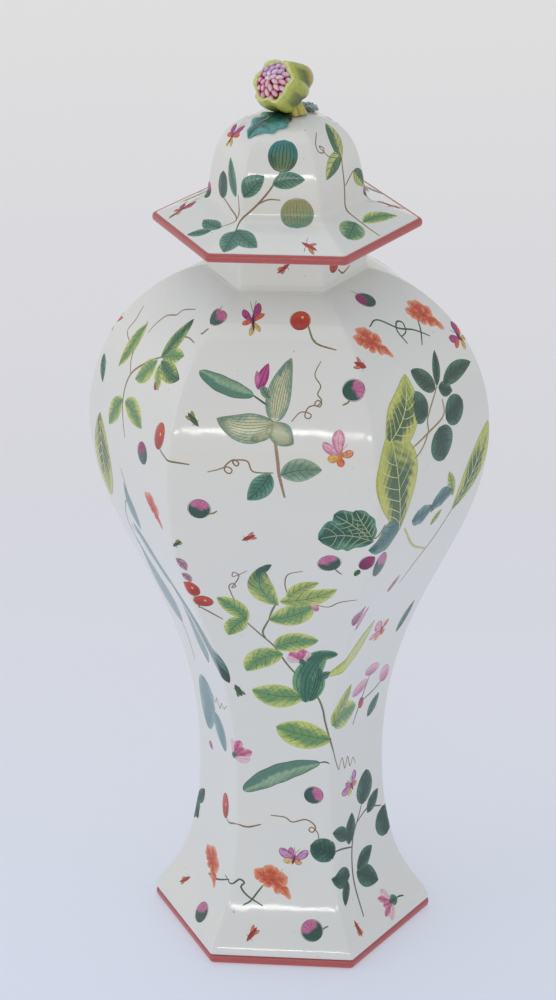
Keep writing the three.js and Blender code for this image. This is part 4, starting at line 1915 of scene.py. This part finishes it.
    def laurel_spray(self, e: Enamels) -> None:
        """Paints the laurel spray that crosses the arris above the foot.

        Args:
            e: the enamels of the face.
        """
        stem = (96, 104, 78)
        e.stem(
            [(-19, 22, 1), (-16, 40, 1), (-13, 54, 1), (-8, 68, 1), (1, 80, 1), (6, 90, 1)], 1.0,
            stem
        )
        e.stem([(-3, 75, 1), (10, 79, 1), (24, 74, 1)], 0.9, stem)
        e.stem([(-10, 62, 1), (-22, 66, 1), (-33, 68, 1)], 0.9, stem)
        e.leaf((32, 66), (16, 72), 16, LAUREL, blunt=0.5, belly=0.5)
        e.leaf((-14, 69, 1), (-28, 80, 1), 9, LAUREL, bow=-1.5)
        e.leaf((-13, 65, 1), (-7, 84, 1), 11, LAUREL)
        e.leaf((5, 84, 1), (10, 106, 1), 17, LAUREL, blunt=0.6)
        e.leaf((9, 76, 1), (22, 87, 1), 10, LAUREL)
        e.leaf((25, 73, 1), (26, 54, 1), 20, LAUREL, blunt=0.5)
        e.leaf((-10, 47, 1), (9, 54, 1), 12, LAUREL)
        e.leaf((-11, 46, 1), (6, 33, 1), 12, LAUREL)
        e.leaf((-18, 47, 1), (-34, 51, 1), 12, LAUREL, blunt=0.7)
        e.leaf((-22, 46, 1), (-30, 33, 1), 8, LAUREL)

    # -- second design
    def tobacco_face(self, e: Enamels) -> None:
        """Paints the face with the broad yellow-green leaves.

        Args:
            e: the enamels of the face.
        """
        self.nasturtiums(e)
        self.tobacco_spray(e)
        self.pinks(e)

    def nasturtiums(self, e: Enamels) -> None:
        """Paints the orange flowers under the lid, with their knotted stems.

        Args:
            e: the enamels of the face.
        """
        e.stem([(-19, 410), (-10, 411), (1, 404), (12, 400), (22, 394)], 0.9, MOSS)
        e.stem([(20, 403), (17, 398), (12, 392)], 0.9, MOSS)
        e.stem([(1, 396), (-1, 403), (3, 406.5), (7, 405), (5, 401), (-1, 400)], 0.9, MOSS)
        poppy(e, (26, 404), 0.92)
        poppy(e, (-26, 404.5), 0.92)
        bud(e, (-5, 419), (13, 11), 59, MAGENTA)
        cherry(e, (-11, 438), (9, 9), 0, [(-7, 434), (-2, 430.5), (5, 433)])
        e.butterfly((46, 386), 30, MAGENTA_WINGS, (70, 40, 70))

    def tobacco_spray(self, e: Enamels) -> None:
        """Paints the two broad leaves and the laurel that springs from behind them.

        Args:
            e: the enamels of the face.
        """
        beige = (160, 142, 96)
        e.stem([(11, 370), (-4, 357), (-6, 349), (-15, 341), (-26, 338)], 1.1, beige)
        e.stem([(13, 362), (11, 353), (-4, 349), (-26, 345)], 1.1, beige)
        e.stem([(-27, 297), (-11, 279), (10, 267)], 1.4, (196, 196, 130))
        e.stem([(27, 287), (14, 272), (3, 262), (-8, 250)], 1.2, beige)
        e.leaf((11, 370), (20, 387), 7, LAUREL)
        e.leaf((9, 369), (-7, 384), 12, LAUREL, blunt=0.6)
        e.leaf((17, 369), (48, 372), 11, LAUREL, bow=1.5)
        e.leaf((12, 369), (24, 363), 9, LAUREL)
        e.leaf((-4, 358), (-19, 373), 18, LAUREL, blunt=0.5)
        e.leaf((13, 350), (32, 355), 18, LAUREL, blunt=0.5, belly=0.5)
        e.leaf((5, 348), (9, 327), 23, LAUREL, blunt=0.55)
        e.leaf((-46, 355), (-13, 384), 28, TOBACCO, bow=-6.0, belly=0.42, crown=0.22)
        e.leaf((-33, 298), (-42, 362), 41, TOBACCO, bow=1.0, belly=0.58, crown=0.24)
        e.leaf(
            (-34, 309), (-60, 295), 19,
            LeafLook((104, 150, 140), (70, 116, 116), (38, 74, 76), veins=4, ragged=0.05), bow=3.0
        )
        e.leaf(
            (-20, 299), (2, 300), 12,
            LeafLook((116, 158, 150), (72, 118, 124), (40, 74, 76), veins=2, ragged=0.05), bow=-1.0
        )
        e.leaf(
            (0, 299), (24, 302), 12,
            LeafLook((108, 154, 146), (64, 114, 120), (40, 74, 76), veins=2, ragged=0.05), bow=2.0,
            crown=0.22
        )
        e.leaf((24, 298), (15, 317), 8, BEAN_PALE)
        e.leaf((27, 287), (56, 334), 20, TOBACCO, bow=-3.0, belly=0.5)
        e.leaf((4, 286), (14, 293), 6, BEAN_PALE)
        e.leaf((-20, 249), (-12, 258), 6, DUSK)
        e.insect((4, 296), (-2, 302), MOSS, MOSS_WING, 2.2, 4.0)

    def pinks(self, e: Enamels) -> None:
        """Paints the pinks on the waist and foot.

        Args:
            e: the enamels of the face.
        """
        e.leaf((-41, 231), (-37, 247), 5, LeafLook(ROSE, BLUSH, MAGENTA, veins=1), bow=1.0)
        e.butterfly((-3, 213), 20, ROSE_WINGS, (90, 50, 80))
        e.leaf((20, 200), (29, 220), 8, TEAL)
        e.stem([(-8, 146), (-3, 160), (0, 170), (2, 178)], 0.8, MOSS)
        e.stem([(-3, 160), (10, 162), (22, 167)], 0.8, MOSS)
        for place, size, turn in (
            ((3, 181), (8.5, 16), -12), ((-7, 172), (9, 16), 12), ((20, 170), (13, 10), 24)
        ):
            e.bead(
                place, size, turn, (204, 122, 168), (232, 190, 210), 0.0, 0.9,
                outline=(190, 100, 150)
            )
        e.bead((-2, 159), (9, 6), 15, CORAL, MAGENTA, 0.0, 0.5)
        e.leaf((8, 144), (18, 157), 9, TEAL)
        e.butterfly((-6, 102), 25, LILAC_WINGS, (120, 50, 70))
        e.insect((-28, 14), (-28, 23.5), RUST, RUST_WING, 2.4, 4.5)
        fan(e, (10, 18.5), (-2, 20), 9, PINK)
        e.leaf((15, 18.5), (6, 19), 7, TEAL, crown=0.22)
        e.stem([(15, 18.5), (18, 18), (21, 17)], 0.9, MOSS)

    # -- third design
    def vine_face(self, e: Enamels) -> None:
        """Paints the face with the climbing vine and the long arching leaves.

        Args:
            e: the enamels of the face.
        """
        self.climber(e)
        self.arching_leaves(e)
        self.windfalls(e)

    def climber(self, e: Enamels) -> None:
        """Paints the climber under the shoulder.

        Args:
            e: the enamels of the face.
        """
        stem = (138, 130, 84)
        e.stem([(16, 391), (4, 384), (-10, 372), (-11, 356), (-3, 337)], 1.1, stem)
        e.stem([(-18, 399), (-16, 381), (-10, 372)], 0.9, stem)
        e.stem([(-32, 403), (-31, 396), (-33, 389), (-24, 385)], 0.6, TWIG)
        e.stem([(14, 415), (5, 412), (3, 409), (-5, 406), (-10, 399), (-11, 395)], 0.7, TWIG)
        e.stem([(16, 392), (20, 402), (28, 405), (37, 405)], 0.7, TWIG)
        e.leaf((-17, 398), (-27, 371), 11, BEAN, bow=1.0)
        e.leaf((15, 390), (20, 412), 12, BEAN_DARK, bow=-2.0)
        e.leaf((16, 391), (36, 398), 11, BEAN)
        e.leaf((17, 389), (44, 388), 12, BEAN_DARK, bow=-1.5)
        e.leaf((13, 388), (-3, 372), 13, BEAN, bow=1.5)
        e.leaf((17, 387), (27, 376), 9, BEAN_PALE)
        e.bead((23, 379), (9, 7), 180, ROSE, MAGENTA, 0.1, 0.5)
        e.leaf((-11, 357), (-27, 336), 13, BEAN, bow=-1.5)
        e.leaf((-8, 357), (19, 351), 14, BEAN, bow=2.0)
        e.leaf((-49, 371), (-42, 356), 7, TEAL)

    def arching_leaves(self, e: Enamels) -> None:
        """Paints the long leaves that arch down the waist.

        Args:
            e: the enamels of the face.
        """
        e.leaf((-41, 338), (-46, 282), 24, TOBACCO, bow=3.0, belly=0.5)
        e.stem(
            [(-12, 314), (-8, 300), (-20, 286), (-27, 270), (-21, 240), (-12, 205), (-14, 178)],
            0.9, (130, 140, 130)
        )
        e.stem([(-22, 272), (0, 262), (14, 240), (18, 214)], 0.9, (130, 140, 130))
        e.leaf((-11, 306), (-3, 277), 13, ARCH, bow=-1.0, belly=0.6)
        e.leaf((-24, 262), (-12, 206), 26, ARCH, bow=-3.0, belly=0.68)
        e.leaf((-16, 276), (8, 244), 11, ARCH, bow=2.0)
        e.leaf((4, 262), (37, 186), 15, HOOD_ARCH, bow=6.0, belly=0.7)
        e.leaf((12, 232), (14, 190), 15, ARCH, bow=1.5, belly=0.66)
        e.leaf((-4, 170), (-12, 130), 22, ARCH, belly=0.42, blunt=0.5)
        e.leaf((3, 149), (13, 126), 15, ARCH, blunt=0.6)

    def windfalls(self, e: Enamels) -> None:
        """Paints the fruit, flowers and buds of this face.

        Args:
            e: the enamels of the face.
        """
        cherry(e, (43, 356), (16, 12), -10, [(45, 352), (47, 349), (-57, 347, 1), (-46, 345.5, 1)])
        bud(e, (23, 338), (13, 14), 20, MAGENTA)
        poppy(e, (34, 309), 0.9, (236, 156, 150))
        e.stem(
            [(4, 162), (7, 158), (11, 163), (13, 157), (18, 163), (20, 160), (27, 166)], 0.6, TWIG
        )
        e.leaf((-12, 121), (-7, 117), 5, DUSK)
        cherry(e, (12, 88), (17, 9), 0, [(13, 81), (18, 79.5), (26, 83), (-28, 84, 1)])
        e.leaf((-27, 70), (-19, 83), 8, LAUREL)
        e.leaf((-24, 60), (-34, 70), 8, LAUREL)
        poppy(e, (5, 46), 1.0)
        e.stem([(5, 38), (16, 40), (28, 46), (-34, 47, 1)], 0.9, MOSS)
        bud(e, (16, 19), (13, 13), 30)
        e.insect((-20, 20), (-12, 27), RUST, RUST_WING, 2.4, 4.5)


class LidPainting(Painting):
    """Enamels on the lid."""

    def make(self) -> None:
        """Paints all six faces."""
        designs = (self.gourd_face, self.variegated_face, self.berry_face)
        self.paint_faces("lid", Finish.LID_GLAZE, designs)

    def gourd_face(self, e: Enamels) -> None:
        """Paints the branch with two round fruits.

        Args:
            e: the enamels of the face.
        """
        e.stem(
            [(0.5, 494.5), (-5.5, 484.5), (-12, 476.5), (-16.5, 472), (-22, 467), (-24, 463.5)],
            0.9, TWIG
        )
        e.stem([(-14, 475), (-7, 478.5), (0, 478.5)], 0.7, TWIG)
        gourd = LeafLook(
            (70, 98, 70), (104, 130, 84), (28, 58, 56), veins=0, stripes=3, tip=(52, 134, 136),
            tip_from=0.2
        )
        melon = LeafLook(
            (76, 146, 128), (72, 148, 128), (112, 120, 80), veins=0, stripes=4, tip=(164, 160, 112),
            tip_from=-0.3, line=0.35
        )
        e.leaf((0.5, 493.5), (1.5, 509.5), 16.5, gourd, blunt=0.42, belly=0.5)
        e.leaf((10, 464.8), (8.5, 480), 18.5, melon, blunt=0.42, belly=0.5)
        e.leaf((-4.5, 487), (13.5, 490), 9.5, TEAL, bow=1.0)
        e.leaf((-20.5, 479.5), (-9.0, 491.5), 11, TEAL, lean=0.3)
        e.leaf((-24, 463.5), (-29, 456.8), 12, TEAL)
        e.leaf((-24, 464), (-11, 458.5), 12, TEAL, bow=-1.0)
        e.insect((22, 458), (13, 460.5), RUST, RUST_WING, 2.2, 4.5)

    def variegated_face(self, e: Enamels) -> None:
        """Paints the branch with the two-coloured leaves.

        Args:
            e: the enamels of the face.
        """
        split = LeafLook(
            (176, 190, 112), (196, 204, 132), (70, 92, 62), veins=4, half=(78, 122, 84)
        )
        e.stem([(5, 498), (3, 492), (2, 479), (0, 466), (-1, 461), (-1, 456.9)], 0.9, TWIG)
        e.stem([(3, 480), (8, 483.5), (12, 486)], 0.7, TWIG)
        e.stem(
            [
                (-6, 511), (-13, 507), (-14, 503.5), (-10.5, 502), (-8.5, 504), (-11.5, 505.5),
                (-8, 500), (-3, 497)
            ],
            0.6, TWIG
        )
        e.leaf((3, 495), (7, 512.5), 10, split, bow=1.0)
        e.leaf((5, 498), (-14, 488), 10, split, bow=-1.5)
        e.leaf((12, 486), (20, 475), 9, split, bow=1.0)
        e.leaf(
            (-4, 463), (-22, 460), 15,
            LeafLook((156, 186, 130), (84, 134, 96), (52, 92, 68), veins=4), blunt=0.5
        )
        e.leaf((0, 462), (26, 459.5), 9, BEAN, bow=2.5)
        e.stem([(28, 463), (34, 461.5)], 0.5, TWIG)

    def berry_face(self, e: Enamels) -> None:
        """Paints the twig with its bud and butterflies.

        Args:
            e: the enamels of the face.
        """
        e.stem([(-1, 473), (10, 470), (22, 467), (19, 463)], 0.8, TWIG)
        e.stem([(18, 480), (21, 473), (22, 467)], 0.8, TWIG)
        e.leaf((16, 478), (1, 496), 9, TEAL, bow=1.0)
        e.leaf((-1, 472), (-4, 487), 12, LAUREL, blunt=0.5)
        bud(e, (-21, 471), (10, 8), 10)
        e.butterfly((-6, 505), 0, smaller(MAGENTA_WINGS, 0.8, 0.8), (120, 50, 70))
        e.butterfly((-23, 460.5), 20, smaller(MAGENTA_WINGS, 0.45, 0.6), (120, 50, 90))
        e.leaf((20, 463), (1, 462), 9, TEAL, bow=1.0)
        e.leaf((17, 461), (6, 456.8), 7, TEAL)


# ---- Studio ----
@dataclass
class Studio:
    """Pale floor, soft light and the camera."""

    camera_place: tuple[float, float, float] = (0.1421, -1.5768, 1.0227)
    yaw: float = -5.384
    pitch: float = 25.184
    roll: float = -0.54
    lens: float = 106.56
    glow: float = 0.46
    sky_strength: float = 0.82
    floor_gap: float = 0.0006
    aim_height: float = 0.28

    def camera(self) -> None:
        """Places the camera."""
        data = bpy.data.cameras.new("view")
        data.lens = self.lens
        data.clip_end = 50
        eye = add_object("view", data)
        yaw, pitch, roll = (math.radians(v) for v in (self.yaw, self.pitch, self.roll))
        flat = math.cos(pitch)
        ahead = Vector((math.sin(yaw) * flat, math.cos(yaw) * flat, -math.sin(pitch)))
        right = Vector((math.cos(yaw), -math.sin(yaw), 0))
        above = right.cross(ahead)
        across = right * math.cos(roll) + above * math.sin(roll)
        above = above * math.cos(roll) - right * math.sin(roll)
        turn = Matrix((across, above, -ahead)).transposed()
        eye.matrix_world = Matrix.Translation(self.camera_place) @ turn.to_4x4()
        bpy.context.scene.camera = eye

    def floor(self) -> None:
        """Makes the pale floor, which glows to soften the jar's shadow, with a warm glowing band
        behind the camera that the glaze reflects.
        """
        bench = Bench("studio_floor")
        place = bench.place()
        far = bench.node("ShaderNodeSeparateXYZ", {}, {0: place}, 1)
        # The warm first stops lie behind the camera, out of view: a glowing band, painted light,
        # that gives the glaze a warm reflection.
        stops = (
            (0.0, (236, 214, 176)),
            (0.1, (236, 214, 176)),
            (0.25, (226, 228, 232)),
            (0.57, (226, 232, 247)),
            (0.72, (229, 228, 233)),
            (1.0, (242, 240, 238)),
        )
        tone = bench.ramp(far * 0.2 + 0.6, [(spot, linear(colour)) for spot, colour in stops])
        grain = bench.noise(place, 3.0)
        # The floor glows as well as being lit: painted light that softens the jar's shadow on it.
        material = bench.dress(
            Base_Color=bench.mix(self.glow, tone, BLACK),
            Emission_Color=tone,
            Emission_Strength=self.glow,
            Roughness=0.7 + 0.1 * grain,
        )
        mesh = bpy.data.meshes.new("studio_floor")
        mesh.from_pydata([(-9, -9, 0), (9, -9, 0), (9, 9, 0), (-9, 9, 0)], [], [(0, 1, 2, 3)])
        mesh.materials.append(material)
        floor = add_object("studio_floor", mesh)
        floor.location.z = -self.floor_gap

    def light(
        self, name: str, place: tuple[float, float, float], size: Pair, power: float, colour: Colour
    ) -> None:
        """Places one softbox, facing the middle of the jar.

        Args:
            name: its name.
            place: where it stands.
            size: its width and height.
            power: its power in watts.
            colour: its colour.
        """
        data = bpy.data.lights.new(name, "AREA")
        data.shape = "RECTANGLE"
        data.size, data.size_y = size
        data.energy = power
        data.color = linear(colour)[:3]
        lamp = add_object(name, data)
        lamp.location = place
        aim = Vector((0, 0, self.aim_height)) - Vector(place)
        lamp.rotation_euler = aim.to_track_quat("-Z", "Y").to_euler()

    def sky(self) -> None:
        """Gives the studio its soft walls and ceiling."""
        world = bpy.data.worlds.new("studio")
        bpy.context.scene.world = world
        world.use_nodes = True
        tree = world.node_tree
        place = tree.nodes.new("ShaderNodeTexCoord")
        split = tree.nodes.new("ShaderNodeSeparateXYZ")
        ramp = tree.nodes.new("ShaderNodeValToRGB")
        stops = [
            (0.0, (0.62, 0.62, 0.62, 1)),
            (0.5, (1.0, 0.97, 0.88, 1)),
            (0.57, (1.0, 0.99, 0.96, 1)),
            (0.66, (0.74, 0.75, 0.76, 1)),
            (0.80, (0.57, 0.61, 0.68, 1)),
            (1.0, (0.76, 0.78, 0.81, 1)),
        ]
        set_stops(ramp.color_ramp, stops)
        lift = tree.nodes.new("ShaderNodeMapRange")
        lift.inputs["From Min"].default_value = -1.0
        tree.links.new(place.outputs["Generated"], split.inputs[0])
        tree.links.new(split.outputs[2], lift.inputs[0])
        tree.links.new(lift.outputs[0], ramp.inputs[0])
        tree.links.new(ramp.outputs[0], tree.nodes["Background"].inputs["Color"])
        tree.nodes["Background"].inputs["Strength"].default_value = self.sky_strength

    def make(self) -> None:
        """Sets the studio up."""
        self.camera()
        self.floor()
        self.sky()
        self.light("overhead_softbox", (-0.6, 0.5, 2.8), (2.6, 2.6), 10, (255, 255, 255))
        panes = (
            (-0.72, 0.86, 0.34, 0.12, 1.0),
            (-0.3, 0.94, 0.30, 0.16, 1.5),
            (0.1, 0.88, 0.26, 0.10, 0.9),
            (0.42, 1.0, 0.24, 0.2, 1.1),
            (0.8, 0.92, 0.3, 0.12, 0.7),
        )
        for i, (across, high, width, tall, power) in enumerate(panes):
            self.light(
                f"front_pane_{i}", (across, -3.4, high), (width, tall), power, (255, 255, 252)
            )
        self.light("left_softbox", (-2.4, -0.9, 1.5), (1.2, 1.8), 6, (250, 252, 255))
        scene = bpy.context.scene
        scene.view_settings.view_transform = "Standard"
        scene.view_settings.look = "None"
        scene.view_settings.exposure = 0.0
        scene.view_settings.gamma = 1.0


def main() -> None:
    """Makes the jar, its lid and the studio."""
    logging.basicConfig(level=logging.INFO, format="%(message)s")
    Studio().make()
    glaze = PorcelainGlaze().make()
    enamel = RaisedEnamel().make()
    biscuit = Biscuit().make()
    jar = JarBody()
    jar.shell(glaze)
    jar.foot_band(IronRed(low_mm=0, high_mm=jar.band).make("foot_iron_red"))
    lid = Lid()
    lid.shell(glaze)
    lid.brim_band(IronRed(low_mm=lid.base, high_mm=lid.base + lid.edge).make("brim_iron_red"))
    SplitFruit(lid).make(enamel)
    JarPainting(jar.surface(), enamel).make()
    LidPainting(lid.surface(), enamel).make()
    for node in ("jar_floor", "lid_collar"):
        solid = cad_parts[node]
        solid.data.materials.clear()
        solid.data.materials.append(biscuit)


if __name__ == "__main__":
    main()
